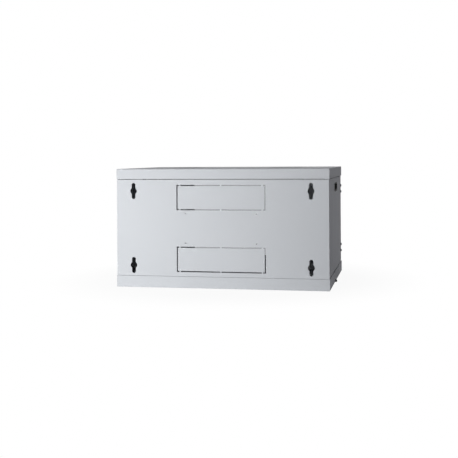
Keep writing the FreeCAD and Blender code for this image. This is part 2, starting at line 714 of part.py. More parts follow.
def make_rail_support(side, upper, name):
    """A channel along a cover's side, whose inner web carries the rack rails in a long slot."""
    level = 1 if upper else -1
    web_z = across(level, "roof - support_height", "roof")
    base_z = across(level, "roof - frame_sheet", "roof")
    lip_z = across(level, "roof - support_lip", "roof")
    run = ("post_back + post_rebate - frame_sheet + support_gap", "rear_seat_end - support_gap")
    rear_flange = "-(skin) - frame_sheet"
    pieces = [
        box(
            across(side, "web_inner", "post_inner"),
            ("post_front + frame_sheet", rear_flange),
            web_z,
            "Web",
        ),
        box(across(side, "web_inner", "inner"), run, base_z, "Base"),
        box(across(side, "inner - frame_sheet", "inner"), run, lip_z, "Lip"),
        box(
            across(side, "web_inner", "inner - rear_post_face + post_rebate"),
            (f"{rear_flange} - frame_sheet", rear_flange),
            web_z,
            "RearTab",
        ),
    ]
    middle = at(level, "support_middle")
    through = across(side, "web_inner - 1", "post_inner + 1")
    slot_length = "rail_travel + rail_screw_pitch + 2 * rail_screw_radius + 2 * bolt_play"
    tools = [
        stadium(
            "xy",
            ("0", "rail_screw + rail_travel / 2", middle),
            "rail_screw_radius + bolt_play",
            slot_length,
            through,
        ),
        rod(
            "x",
            ("0", "post_front + post_lip / 2", middle),
            "support_screw_radius + bolt_play",
            through,
        ),
    ]
    if not upper:
        flange = across(side, "inner - frame_sheet - 1", "inner + 1")
        knob = ("0", "knob_place", "knob_rise - top")
        tools.append(rod("x", knob, "knob_shank_radius + bolt_play", flange))
        lip = "inner - frame_sheet"
        room = box(
            across(side, f"{lip} - knob_nut_height - nut_past - 1", lip),
            ("knob_place - knob_nut_room", "knob_place + knob_nut_room"),
            ("floor - 1", "floor + frame_sheet + 1"),
            "NutRoom",
        )
        tools.append(room)
    return label(cut(fuse(pieces), tools, "Support"), name)


def bolt(side, point, shank, head_radius, head_height, head, tip, name="Bolt"):
    """A round-headed screw across the cabinet: its head stands on a face, its tip lies inward."""
    pieces = [
        rod("x", point, head_radius, across(side, head, f"{head} + {head_height}"), "Head"),
        rod("x", point, shank, across(side, tip, head), "Shank"),
    ]
    return fuse(pieces, name)


def nut(side, point, flats, bore, span, name="Nut"):
    """A hexagon nut on a screw that lies across the cabinet."""
    near, far = span
    body_span = across(side, near, far)
    bore_span = across(side, f"{near} - 1", f"{far} + 1")
    solid = hexagon("x", point, flats, body_span)
    return cut(solid, [rod("x", point, bore, bore_span, "Bore")], name)


def support_fixings():
    """Screws and nuts that hold the front ends of the rail supports to the uprights' lips."""
    screws, nuts = [], []
    for side in (-1, 1):
        for level in (-1, 1):
            point = ("0", "post_front + post_lip / 2", at(level, "support_middle"))
            head = across(side, "web_inner - support_head_height", "web_inner")
            lip = "post_inner + frame_sheet"
            shank = across(side, "web_inner", f"{lip} + middle_nut_height + nut_past")
            pieces = [
                rod("x", point, "support_head_radius", head),
                rod("x", point, "support_screw_radius", shank),
            ]
            screws.append(fuse(pieces, "SupportScrew"))
            grip = (lip, f"{lip} + middle_nut_height")
            nuts.append(nut(side, point, "middle_nut_width", "support_screw_radius + thread_play", grip))
    return [label(group(screws, "Screws"), "support_screws"), label(group(nuts, "Nuts"), "support_nuts")]


def edge_screws():
    """Black screws low on both sides, which clamp the bottom cover's flanges, and their nuts."""
    screws, nuts = [], []
    for side in (-1, 1):
        point = ("0", "knob_place", "knob_rise - top")
        tip = "inner - frame_sheet - knob_nut_height - nut_past"
        screws.append(bolt(side, point, "knob_shank_radius", "knob_radius", "knob_height", "half", tip))
        grip = ("inner - frame_sheet - knob_nut_height", "inner - frame_sheet")
        nuts.append(nut(side, point, "knob_nut_width", "knob_shank_radius + thread_play", grip))
    return [label(group(screws, "Screws"), "edge_screws"), label(group(nuts, "Nuts"), "edge_screw_nuts")]


# Rack rails

def make_rail(side, name):
    """An angle with square holes, three to a rack unit, and four holes for its clamp screws."""
    rail = body(name)
    outer = "web_inner"
    height = ("floor + rail_end_gap", "roof - rail_end_gap")
    section = [
        (outer, "rail_front"),
        ("rail_edge", "rail_front"),
        ("rail_edge", "rail_front + rail_sheet"),
        (f"{outer} - rail_sheet", "rail_front + rail_sheet"),
        (f"{outer} - rail_sheet", "rail_front + rail_flange"),
        (outer, "rail_front + rail_flange"),
    ]
    pad(rail, "z", height, [(polygon, [(at(side, u), v) for u, v in section])], "Section")
    unit = []
    reach = [f"rack_hole {sign} cage_hole / 2" for sign in "-+"]
    for rise in ("rack_unit / 7", "rack_unit / 2", "rack_unit * 6 / 7"):
        middle = f"rack_bottom + {rise}"
        edges = [f"{middle} {sign} cage_hole / 2" for sign in "-+"]
        unit.append((rectangle, [at(side, text) for text in reach], edges))
    holes = pocket(rail, "y", ("rail_front", "rail_front + rail_sheet"), unit, "CageHoles")
    repeat(rail, holes, "rack_unit", "rack_units")
    radius = "rail_screw_radius + thread_play"
    clamps = [
        (circle, f"rail_screw + {a} * rail_screw_pitch / 2", at(t, "support_middle"), radius)
        for a in (-1, 1)
        for t in (-1, 1)
    ]
    pocket(rail, "x", across(side, "web_inner - rail_sheet", "web_inner"), clamps, "ClampHoles")
    return rail


def rail_fixings(side, end):
    """Four clamp screws and nuts, which slide with a rack rail in the supports' slots."""
    screws, nuts = [], []
    face = "web_inner - rail_sheet"
    for a in (-1, 1):
        for level in (-1, 1):
            point = ("0", f"rail_screw + {a} * rail_screw_pitch / 2", at(level, "support_middle"))
            head = across(side, f"{face} - rail_head_height", face)
            tip = across(side, face, "post_inner + large_nut_height + nut_past")
            pieces = [rod("x", point, "rail_head_radius", head), rod("x", point, "rail_screw_radius", tip)]
            socket = across(side, f"{face} - rail_head_height - 1", f"{face} - rail_head_height / 2")
            screws.append(cut(fuse(pieces), [hexagon("x", point, "rail_head_radius * 2 / 3", socket)]))
            grip = ("post_inner", "post_inner + large_nut_height")
            nuts.append(nut(side, point, "large_nut_width", "rail_screw_radius + thread_play", grip))
    return [
        label(group(screws, "Screws"), "rail_screws_" + end),
        label(group(nuts, "Nuts"), "rail_nuts_" + end),
    ]


# Door

def make_door_frame():
    """A steel pan with a window for the glass and a hole for the lock."""
    door = body("door_frame")
    upright = ("bay_bottom", "bay_top")
    pad(door, "y", ("-(depth)", "door_back"), [(rectangle, ("-(door_half)", "door_half"), upright)])
    front = -value("depth")
    half = value("door_half")
    soften(
        door,
        "cover_round",
        lambda b: abs(b.YMin - front) < 0.01 and abs(b.YMax - front) < 0.01 and b.ZLength > 50
        and min(abs(b.XMin - half), abs(b.XMin + half)) < 0.01,
    )
    room = [
        (rectangle, ("-(door_half) + skin", "door_half - skin"), ("bay_bottom + skin", "bay_top - skin"))
    ]
    pocket(door, "y", ("door_inside", "door_back - skin"), room, "Room")
    mouth = [
        (
            rectangle,
            ("-(door_half) + door_lip", "door_half - door_lip"),
            ("bay_bottom + door_lip", "bay_top - door_lip"),
        )
    ]
    pocket(door, "y", ("door_back - skin", "door_back"), mouth, "Mouth")
    sheet_span = ("-(depth)", "door_inside")
    window = [(rectangle, ("-(window_half)", "window_half"), ("window_bottom", "window_top"))]
    pocket(door, "y", sheet_span, window, "Window")
    hole = (circle, "lock_place", "bay_middle", "lock_body_radius + lock_hole_play")
    pocket(door, "y", sheet_span, [hole], "LockHole")
    for height in ("hinge_upper", "hinge_lower"):
        reach = ("-(door_half)", "-(hinge_place) + arm_half + arm_play")
        notch_z = (f"{height} - barrel_half - arm_play", f"{height} + barrel_half + arm_play")
        notch = [(rectangle, reach, notch_z)]
        pocket(door, "y", ("door_inside", "door_back"), notch, "HingeNotch")
    return door


def make_glass():
    pane = body("door_glass")
    pad(
        pane,
        "y",
        ("glass_front", "glass_back"),
        [(rectangle, ("-(glass_half)", "glass_half"), ("glass_bottom", "glass_top"))],
    )
    return pane


def make_gasket():
    """A channel of soft rubber round the glass's edge."""
    gasket = body("glass_gasket")
    outer = (
        rectangle,
        ("-(glass_half) - gasket_edge", "glass_half + gasket_edge"),
        ("glass_bottom - gasket_edge", "glass_top + gasket_edge"),
    )
    pad(gasket, "y", ("door_inside", "gasket_back"), [outer])
    sight = (rectangle, ("-(window_half)", "window_half"), ("window_bottom", "window_top"))
    pocket(gasket, "y", ("door_inside", "gasket_back"), [sight], "Sight")
    channel = (rectangle, ("-(glass_half)", "glass_half"), ("glass_bottom", "glass_top"))
    pocket(gasket, "y", ("glass_front", "glass_back"), [channel], "Channel")
    return gasket


def make_retainer(side, name):
    """A folded strip that presses the glass and its gasket to the door."""
    strip = body(name)
    section = [
        ("strip_start", "door_inside"),
        ("strip_start + retainer_sheet + retainer_foot", "door_inside"),
        ("strip_start + retainer_sheet + retainer_foot", "door_inside + retainer_sheet"),
        ("strip_start + retainer_sheet", "door_inside + retainer_sheet"),
        ("strip_start + retainer_sheet", "gasket_back + retainer_sheet"),
        ("window_half + gasket_wall", "gasket_back + retainer_sheet"),
        ("window_half + gasket_wall", "gasket_back"),
        ("strip_start", "gasket_back"),
    ]
    outline = (polygon, [(at(side, u), v) for u, v in section])
    pad(strip, "z", ("glass_bottom", "glass_top"), [outline], "Section")
    holes = [
        (circle, at(side, "stud_place"), f"bay_middle + {t} * stud_rise", "stud_radius + bolt_play")
        for t in (-1, 0, 1)
    ]
    pocket(strip, "y", ("door_inside", "door_inside + retainer_sheet"), holes, "StudHoles")
    return strip


def retainer_fixings():
    """Weld studs on the back of the door's face, and the nuts that hold the retaining strips."""
    studs, nuts = [], []
    for side in (-1, 1):
        for t in (-1, 0, 1):
            point = (at(side, "stud_place"), "0", f"bay_middle + {t} * stud_rise")
            studs.append(rod("y", point, "stud_radius", ("door_inside", "door_inside + stud_height")))
            face = "door_inside + retainer_sheet"
            solid = hexagon("y", point, "small_nut_width", (face, f"{face} + small_nut_height"))
            through = (f"{face} - 1", f"{face} + small_nut_height + 1")
            bore = rod("y", point, "stud_radius + thread_play", through)
            nuts.append(cut(solid, [bore], "Nut"))
    return [label(group(studs, "Studs"), "retainer_studs"), label(group(nuts, "Nuts"), "retainer_nuts")]


# Hinges, on the left-hand side

def make_hinge(height, name):
    """A foot inside the upright with an arm and a barrel, a bracket in the door, and their pin."""
    axis = ("-(hinge_place)", "hinge_depth", height)
    arm_z = (f"{height} - barrel_half", f"{height} + barrel_half")
    leaf = [
        box(
            ("-(inner) + frame_sheet", "-(leaf_inner)"),
            ("post_front + frame_sheet", "post_back - frame_sheet"),
            (f"{height} - leaf_half", f"{height} + leaf_half"),
            "Foot",
        ),
        box(
            ("-(hinge_place) - arm_half", "-(hinge_place) + arm_half"),
            ("hinge_depth", "post_back - frame_sheet"),
            arm_z,
            "Arm",
        ),
        rod("z", axis, "barrel_radius", arm_z, "Barrel"),
    ]
    through = (f"{height} - leaf_half", f"{height} + leaf_half")
    bores = [rod("z", axis, "pin_radius + pin_play", through, "PinBore")]
    for t in (-1, 1):
        point = ("0", "hinge_screw_depth", f"{height} + {t} * hinge_screw_pitch / 2")
        reach = ("-(inner)", "-(leaf_inner) + 1")
        bores.append(rod("x", point, "hinge_screw_radius + thread_play", reach, "ScrewBore"))
    edge = "-(door_half) + skin + lug_inset"
    plate = [
        box(
            (edge, f"{edge} + lug_base_width"),
            ("door_inside", "door_inside + lug_base"),
            (f"{height} - lug_base_half", f"{height} + lug_base_half"),
            "Base",
        )
    ]
    for t in (-1, 1):
        near, far = f"{height} + {t} * lug_start", f"{height} + {t} * (lug_start + lug_thick)"
        plate.append(
            box(
                (edge, f"{edge} + lug_width"),
                ("door_inside + lug_base", "hinge_depth + barrel_radius + lug_past"),
                (near, far) if t > 0 else (far, near),
                "Lug",
            )
        )
    lug_bore = rod("z", axis, "pin_radius", through, "LugBore")
    lug_end = f"{height} + lug_start + lug_thick"
    pin = [
        rod("z", axis, "pin_radius", (f"{height} - pin_half", lug_end), "Shank"),
        rod("z", axis, "pin_head", (lug_end, f"{lug_end} + pin_head_height"), "Head"),
    ]
    return [
        label(cut(fuse(leaf), bores, "Leaf"), "hinge_leaf_" + name),
        label(cut(fuse(plate), [lug_bore], "Bracket"), "hinge_bracket_" + name),
        label(fuse(pin, "Pin"), "hinge_pin_" + name),
    ]


def hinge_screws():
    """Two screws to a hinge, whose heads stand on the upright's outer side."""
    screws = []
    head = ("hinge_head_radius", "hinge_head_height")
    for height in ("hinge_upper", "hinge_lower"):
        for t in (-1, 1):
            point = ("0", "hinge_screw_depth", f"{height} + {t} * hinge_screw_pitch / 2")
            screws.append(bolt(-1, point, "hinge_screw_radius", *head, "inner", "leaf_inner"))
    return label(group(screws, "Screws"), "hinge_screws")


def door_bumpers():
    """Rubber buttons on the right-hand upright, which the door's edge closes on."""
    x = "door_half - door_lip / 2"
    span = ("door_back + seat_gap", "post_front")
    buttons = [
        rod("y", (x, "0", height), "bumper_radius", span)
        for height in ("bay_bottom + bumper_inset", "bay_top - bumper_inset")
    ]
    return label(group(buttons, "Buttons"), "door_bumpers")


# Lock

def make_lock():
    """A cam lock: body and nut on the door, and a cylinder that turns with its cam and screw."""
    axis = ("lock_place", "0", "bay_middle")
    front = "-(depth) - lock_flange"
    housing = cut(
        fuse(
            [
                rod("y", axis, "lock_flange_radius", (front, "-(depth)"), "Ring"),
                rod("y", axis, "lock_body_radius", ("-(depth)", "lock_end"), "Barrel"),
            ]
        ),
        [rod("y", axis, "lock_core_radius + lock_play", (f"{front} - 1", "lock_end + 1"), "Bore")],
        "Housing",
    )
    nut_span = ("door_inside", "door_inside + lock_nut_height")
    ring = cut(
        hexagon("y", axis, "lock_nut_width", nut_span),
        [rod("y", axis, "lock_body_radius + thread_play", ("-(depth)", "lock_end"), "Bore")],
        "LockNut",
    )
    core = fuse(
        [
            rod("y", axis, "lock_core_radius", (front, "lock_end + cam_air"), "Core"),
            rod("y", axis, "lock_shaft_radius", ("lock_end + cam_air", "cam_back"), "Tail"),
        ]
    )
    key_slot = box(
        ("lock_place - key_slot_width / 2", "lock_place + key_slot_width / 2"),
        (f"{front} - 1", f"{front} + key_slot_depth"),
        ("bay_middle - key_slot_height / 2", "bay_middle + key_slot_height / 2"),
        "KeySlot",
    )
    thread_span = ("cam_back - cam_shank_length - 1", "cam_back + 1")
    thread = rod("y", axis, "cam_shank_radius + thread_play", thread_span)
    cylinder = cut(core, [key_slot, thread], "Cylinder")
    bar = [
        rod("y", axis, "cam_half", ("cam_front", "cam_back"), "Hub"),
        box(
            ("lock_place - cam_half", "lock_place + cam_half"),
            ("cam_front", "cam_back"),
            ("bay_middle - cam_reach", "bay_middle"),
            "Blade",
        ),
    ]
    eye = rod("y", axis, "lock_shaft_radius", ("cam_front - 1", "cam_back + 1"), "Eye")
    screw = [
        rod("y", axis, "cam_head_radius", ("cam_back", "cam_back + cam_head_height"), "Head"),
        rod("y", axis, "cam_shank_radius", ("cam_back - cam_shank_length", "cam_back"), "Shank"),
    ]
    return [
        label(housing, "lock_housing"),
        label(ring, "lock_nut"),
        label(cylinder, "lock_cylinder"),
        label(cut(fuse(bar), [eye], "Cam"), "lock_cam"),
        label(fuse(screw, "CamScrew"), "cam_screw"),
    ]


# Side panels

def make_side_panel(side, name):
    """A pan that closes a side, with two tongues behind the bottom cover's flange."""
    panel = body(name)
    sheet_span = across(side, "inner - skin", "inner")
    whole = across(side, "inner - rebate", "inner")
    outline = [(rectangle, ("panel_front", "panel_rear"), ("bay_bottom", "bay_top"))]
    pad(panel, "x", whole, outline)
    room = (
        rectangle,
        ("panel_front + skin", "panel_rear - skin"),
        ("bay_bottom + skin", "bay_top - skin"),
    )
    pocket(panel, "x", across(side, "inner - rebate", "inner - skin"), [room], "Hollow")
    for s in (-1, 1):
        middle = f"panel_middle + {s} * tongue_span / 2"
        tongue = (
            rectangle,
            (f"{middle} - tongue_length / 2", f"{middle} + tongue_length / 2"),
            ("bay_bottom - tongue_drop", "bay_bottom + skin"),
        )
        pad(panel, "x", across(side, "tongue_outer - skin", "tongue_outer"), [tongue], "Tongue")
    cup_hole = (
        slot,
        "latch_place",
        "latch_middle",
        "cup_length - 2 * cup_rim_width + 2 * cup_play",
        "cup_height / 2 - cup_rim_width + cup_play",
    )
    pocket(panel, "x", sheet_span, [cup_hole], "CupHole")
    return panel


def make_latch(side, end):
    """A black cup let into the side panel, and the slider that bolts it behind the top cover's lip."""
    middle = ("0", "latch_place", "latch_middle")
    inner_radius = "cup_height / 2 - cup_rim_width"
    inner_length = "cup_length - 2 * cup_rim_width"
    rim = stadium("xy", middle, "cup_height / 2", "cup_length", across(side, "inner", "inner + cup_rim"))
    well = stadium("xy", middle, inner_radius, inner_length, across(side, "cup_floor", "inner"))
    hollow = stadium(
        "xy",
        middle,
        f"{inner_radius} - cup_wall",
        f"{inner_length} - 2 * cup_wall",
        across(side, "cup_floor + cup_wall", "inner + cup_rim + 1"),
    )
    tab_y = ("latch_place - tab_width / 2", "latch_place + tab_width / 2")
    tab_z = [f"latch_middle - (latch_travel {sign} tab_height) / 2" for sign in "+-"]
    gate = box(
        across(side, "cup_floor - 1", "cup_floor + cup_wall + 1"),
        (f"{tab_y[0]} - slider_play", f"{tab_y[1]} + slider_play"),
        (f"{tab_z[0]} - slider_play", f"{tab_z[1]} + latch_travel + slider_play"),
        "Gate",
    )
    guides = []
    guide_z = ("latch_middle - guide_half", "latch_middle + guide_half")
    for s in (-1, 1):
        edge = "slider_width / 2 + slider_play"
        wall_y = across(s, edge, f"{edge} + guide_wall")
        lip_y = across(s, f"{edge} - guide_wall", f"{edge} + guide_wall")
        wall_x = across(side, "slider_back - slider_play", "cup_floor")
        lip_x = across(side, "slider_back - slider_play - guide_lip", "slider_back - slider_play")
        for span_x, span_y in ((wall_x, wall_y), (lip_x, lip_y)):
            places = [f"latch_place + ({text})" for text in span_y]
            guides.append(box(span_x, places, guide_z, "Guide"))
    cup = fuse([cut(fuse([rim, well]), [hollow, gate], "CupShell")] + guides, "Cup")
    slide = fuse(
        [
            box(
                across(side, "slider_back", "slider_face"),
                ("latch_place - slider_width / 2", "latch_place + slider_width / 2"),
                ("latch_middle - slider_foot", "slider_top"),
                "Plate",
            ),
            box(across(side, "slider_face", "slider_face + tab_reach"), tab_y, tab_z, "Tab"),
        ],
        "Slider",
    )
    return [label(cup, "latch_cup_" + end), label(slide, "latch_slider_" + end)]


# Earth stud

def earth_point():
    """A stud on the floor, with a washer between two nuts."""
    axis = ("earth_inset - inner", "-(earth_setback)", "0")
    stud = rod("z", axis, "earth_radius", ("floor", "floor + earth_height"), "Stud")
    washer_low = "floor + large_nut_height"
    washer_top = f"{washer_low} + washer_thick"
    nuts = []
    for low in ("floor", washer_top):
        solid = hexagon("z", axis, "large_nut_width", (low, f"{low} + large_nut_height"))
        bore = rod("z", axis, "earth_radius + thread_play", ("floor - 1", "floor + earth_height + 1"))
        nuts.append(cut(solid, [bore], "Nut"))
    disc = rod("z", axis, "washer_radius", (washer_low, washer_top), "Disc")
    hole = rod("z", axis, "earth_radius + bolt_play", ("floor - 1", "floor + earth_height + 1"))
    return [
        label(stud, "earth_stud"),
        label(group(nuts, "Nuts"), "earth_nuts"),
        label(cut(disc, [hole], "Washer"), "earth_washer"),
    ]


def build():
    parts = [make_cover("top_cover", True), make_cover("bottom_cover", False), make_rear_panel()]
    for side, end in ((-1, "left"), (1, "right")):
        parts.append(make_front_upright(side, "front_upright_" + end))
        parts.append(make_rear_upright(side, "rear_upright_" + end))
        parts.append(make_rail_support(side, True, "rail_support_top_" + end))
        parts.append(make_rail_support(side, False, "rail_support_bottom_" + end))
        parts.append(make_rail(side, "rack_rail_" + end))
        parts += rail_fixings(side, end)
        parts.append(make_side_panel(side, "side_panel_" + end))
        parts += make_latch(side, end)
    parts += support_fixings() + edge_screws()
    parts += [make_door_frame(), make_glass(), make_gasket()]
    parts += [make_retainer(-1, "glass_retainer_left"), make_retainer(1, "glass_retainer_right")]
    parts += retainer_fixings()
    parts += make_hinge("hinge_upper", "upper") + make_hinge("hinge_lower", "lower")
    parts += [hinge_screws(), door_bumpers()] + make_lock() + earth_point()
    return parts


def check(parts):
    for thing in doc.Objects:
        if {"Invalid", "Error"} & set(thing.State):
            raise RuntimeError(f"{thing.Name} ({thing.Label}) is {thing.State}")
    for part in parts:
        if part.Shape.isNull() or not part.Shape.isValid() or not part.Shape.Solids:
            raise RuntimeError(f"{part.Label} has no valid solid")


parts = build()
doc.recompute()
check(parts)
os.makedirs("parts", exist_ok=True)
for part in parts:
    part.Shape.exportStep(f"parts/{part.Label}.step")
    print(part.Label, len(part.Shape.Solids), round(part.Shape.Volume))
print(len(parts), "parts")
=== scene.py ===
"""Wall mount network cabinet, seen from the rear: finishes, small fixings, stage and camera.

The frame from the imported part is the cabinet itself. This script gives each node its finish, puts
screws, nuts, studs, pins, bumpers, lock and latch sliders with their recesses, chamfers, threads
and ribs in place of the plain ones, and lights the lot.
"""

import json
import math

import bmesh
import bpy
from bpy.props import FloatProperty, FloatVectorProperty, PointerProperty, StringProperty
from mathutils import Matrix, Vector


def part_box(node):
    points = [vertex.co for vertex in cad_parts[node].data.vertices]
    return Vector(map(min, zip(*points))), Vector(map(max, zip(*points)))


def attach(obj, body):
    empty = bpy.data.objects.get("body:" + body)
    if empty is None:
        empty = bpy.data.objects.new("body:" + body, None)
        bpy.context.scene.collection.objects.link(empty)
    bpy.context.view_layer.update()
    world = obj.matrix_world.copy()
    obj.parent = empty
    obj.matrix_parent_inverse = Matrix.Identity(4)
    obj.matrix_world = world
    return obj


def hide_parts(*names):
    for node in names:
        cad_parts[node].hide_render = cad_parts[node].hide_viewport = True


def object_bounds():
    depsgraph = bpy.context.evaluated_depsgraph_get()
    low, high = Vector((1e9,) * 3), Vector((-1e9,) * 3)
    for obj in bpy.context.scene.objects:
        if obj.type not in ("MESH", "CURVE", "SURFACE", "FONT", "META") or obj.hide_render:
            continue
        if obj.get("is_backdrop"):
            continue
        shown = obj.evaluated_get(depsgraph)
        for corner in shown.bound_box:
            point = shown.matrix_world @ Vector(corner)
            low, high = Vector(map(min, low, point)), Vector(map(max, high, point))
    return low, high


bl_info = {
    "name": "Wall mount network cabinet",
    "version": (1, 0, 0),
    "blender": (4, 5, 0),
    "location": "3D View > Sidebar > Cabinet",
    "description": "Finishes, fixings and studio for a wall mount network cabinet",
    "category": "Object",
}

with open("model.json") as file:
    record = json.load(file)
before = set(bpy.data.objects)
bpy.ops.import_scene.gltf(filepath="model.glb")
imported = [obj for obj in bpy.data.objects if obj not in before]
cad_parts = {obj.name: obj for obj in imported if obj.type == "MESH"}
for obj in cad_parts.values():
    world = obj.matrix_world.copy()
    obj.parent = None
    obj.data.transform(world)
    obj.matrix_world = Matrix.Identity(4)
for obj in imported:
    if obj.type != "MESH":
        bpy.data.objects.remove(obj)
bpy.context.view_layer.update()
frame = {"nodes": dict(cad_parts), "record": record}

MM = 0.001
SIDES = {"left": -1, "right": 1}
SLOTS = {entry["node"]: entry["material_slot"] for entry in frame["record"]["subparts"]}
BODIES = {
    name: body for body, names in frame["record"]["behaviour"]["bodies"].items() for name in names
}


# Sizes and colours that a user may change


def length(name, description, default):
    """A length that a user may change, with its default in millimetres."""
    return FloatProperty(
        name=name,
        description=description,
        default=default * MM,
        min=0.0,
        precision=5,
        subtype="DISTANCE",
        unit="LENGTH",
    )


def share(name, description, default):
    """A share that a user may change, from nought to one."""
    return FloatProperty(
        name=name, description=description, default=default, min=0.0, max=1.0, subtype="FACTOR"
    )


def spot(name, description, default):
    """A place that a user may change, with its default in millimetres."""
    return FloatVectorProperty(
        name=name,
        description=description,
        default=[c * MM for c in default],
        subtype="TRANSLATION",
        unit="LENGTH",
    )


class FinishSettings(bpy.types.PropertyGroup):
    """Colours of the cabinet's finishes, in sRGB hex, and the scale of their grain"""

    powder: StringProperty(
        name="Powder coat", description="Light grey of the sheet steel", default="C9CBCE"
    )
    zinc: StringProperty(
        name="Zinc plate", description="Rack rails, nuts and bolts", default="B9BCC0"
    )
    black_steel: StringProperty(
        name="Blackened steel", description="Screws at the lower edge of the sides", default="1A1A1B"
    )
    latch: StringProperty(name="Latch", description="Moulded black latches", default="0E0E0F")
    rubber: StringProperty(name="Rubber", description="Glass gasket and bumpers", default="101011")
    glass: StringProperty(name="Glass", description="Tint of the door's glass", default="A9ABAE")
    chrome: StringProperty(name="Chrome", description="Cam lock", default="D6D8DB")
    grain: length("Powder grain", "Grain of the powder coat", 1.1)
    edge: length("Powder edge", "Rounding of the powder coat at the sheet's edges", 0.6)


class FixingSettings(bpy.types.PropertyGroup):
    """Sizes of the small fixings"""

    thread_share: share("Thread depth", "Depth of a thread, as a share of its pitch", 0.54)
    recess_share: share("Recess", "Reach of a screw's recess, as a share of its head", 0.62)
    bump_round: length("Bumper rounding", "Rounded rim of the door's rubber bumpers", 1.0)
    rib: length("Grip rib", "Width of the ribs on the latch's finger tab", 0.8)


class StageSettings(bpy.types.PropertyGroup):
    """Camera and light of the photograph"""

    camera: spot("Camera", "Where the camera stands", (-501.0, 2407.7, 198.4))
    turn: FloatProperty(
        name="Turn",
        description="Camera turned from square on to the rear panel",
        default=math.radians(11.196),
        subtype="ANGLE",
        unit="ROTATION",
    )
    roll: FloatProperty(
        name="Roll",
        description="Camera rolled about its own line of sight",
        default=math.radians(-0.342),
        subtype="ANGLE",
        unit="ROTATION",
    )
    lens: FloatProperty(
        name="Lens",
        description="Focal length on a 36 mm sensor",
        default=70.02,
        subtype="DISTANCE_CAMERA",
    )
    rise: FloatProperty(
        name="Rise",
        description="Upright shift that the photograph's framing needs",
        default=-0.1574,
    )
    key: FloatProperty(
        name="Key lamp",
        description="Near the rear, on the photograph's left",
        default=23.4,
        subtype="POWER",
    )
    high: FloatProperty(
        name="High lamp", description="Above and in front of the door", default=15.0, subtype="POWER"
    )
    low: FloatProperty(
        name="Low lamp", description="Level with the door, on its right", default=17.0, subtype="POWER"
    )
    fill: FloatProperty(name="Fill", description="Strength of the studio's own light", default=0.054)
    shade: share("Floor shade", "How much of the cabinet's shadow the floor keeps", 0.06)


# Materials


def linear(code):
    """Linear colour of an sRGB hex value."""
    levels = [int(code[i : i + 2], 16) / 255 for i in (0, 2, 4)]
    return [v / 12.92 if v <= 0.04045 else ((v + 0.055) / 1.055) ** 2.4 for v in levels] + [1.0]


def node(tree, kind, settings=None, links=None, **values):
    """Adds a shader node with its settings, socket values and links."""
    new = tree.nodes.new(kind)
    for key, setting in (settings or {}).items():
        setattr(new, key, setting)
    for key, number in values.items():
        new.inputs[key.replace("_", " ")].default_value = number
    for key, source in (links or {}).items():
        tree.links.new(source, new.inputs[key])
    return new


def blank(name):
    """A material with an empty tree, its output and the object's own coordinates."""
    material = bpy.data.materials.new(name)
    material.use_nodes = True
    tree = material.node_tree
    tree.nodes.clear()
    output = node(tree, "ShaderNodeOutputMaterial")
    place = node(tree, "ShaderNodeTexCoord").outputs["Object"]
    return material, tree, output, place


def shaded(colour, part):
    """A linear colour with its levels multiplied by one number."""
    return [min(1.0, c * part) for c in colour[:3]] + [1.0]


def powder_coat(settings):
    """Polyester powder coat, sprayed and baked: an even matt grey with a fine orange-peel grain."""
    material, tree, output, place = blank("Polyester powder coat, light grey")
    # The real grain is about 0.3 mm and is drawn coarser, so that it shows.
    grain = node(
        tree, "ShaderNodeTexNoise", links={"Vector": place}, Scale=1 / settings.grain, Detail=3.0
    )
    # Long, faint waves of paint thickness, some 150 mm apart.
    cloud = node(
        tree, "ShaderNodeTexNoise", links={"Vector": place}, Scale=1 / (150 * MM), Detail=2.0
    )
    tint = node(tree, "ShaderNodeValToRGB", links={"Fac": cloud.outputs["Fac"]})
    base = linear(settings.powder)
    tint.color_ramp.elements[0].position = 0.3
    tint.color_ramp.elements[1].position = 0.7
    tint.color_ramp.elements[0].color = shaded(base, 0.985)
    tint.color_ramp.elements[1].color = base
    rough = node(
        tree,
        "ShaderNodeMapRange",
        links={"Value": grain.outputs["Fac"]},
        To_Min=0.62,
        To_Max=0.76,
    )
    # The powder flows round the sheet's edges and pierced holes as it melts.
    edge = node(tree, "ShaderNodeBevel", settings={"samples": 8}, Radius=settings.edge)
    bump = node(
        tree,
        "ShaderNodeBump",
        links={"Height": grain.outputs["Fac"], "Normal": edge.outputs["Normal"]},
        Strength=0.22,
        Distance=0.12 * MM,
    )
    shader = node(
        tree,
        "ShaderNodeBsdfPrincipled",
        links={
            "Base Color": tint.outputs["Color"],
            "Roughness": rough.outputs["Result"],
            "Normal": bump.outputs["Normal"],
        },
        IOR=1.5,
    )
    tree.links.new(shader.outputs["BSDF"], output.inputs["Surface"])
    return material


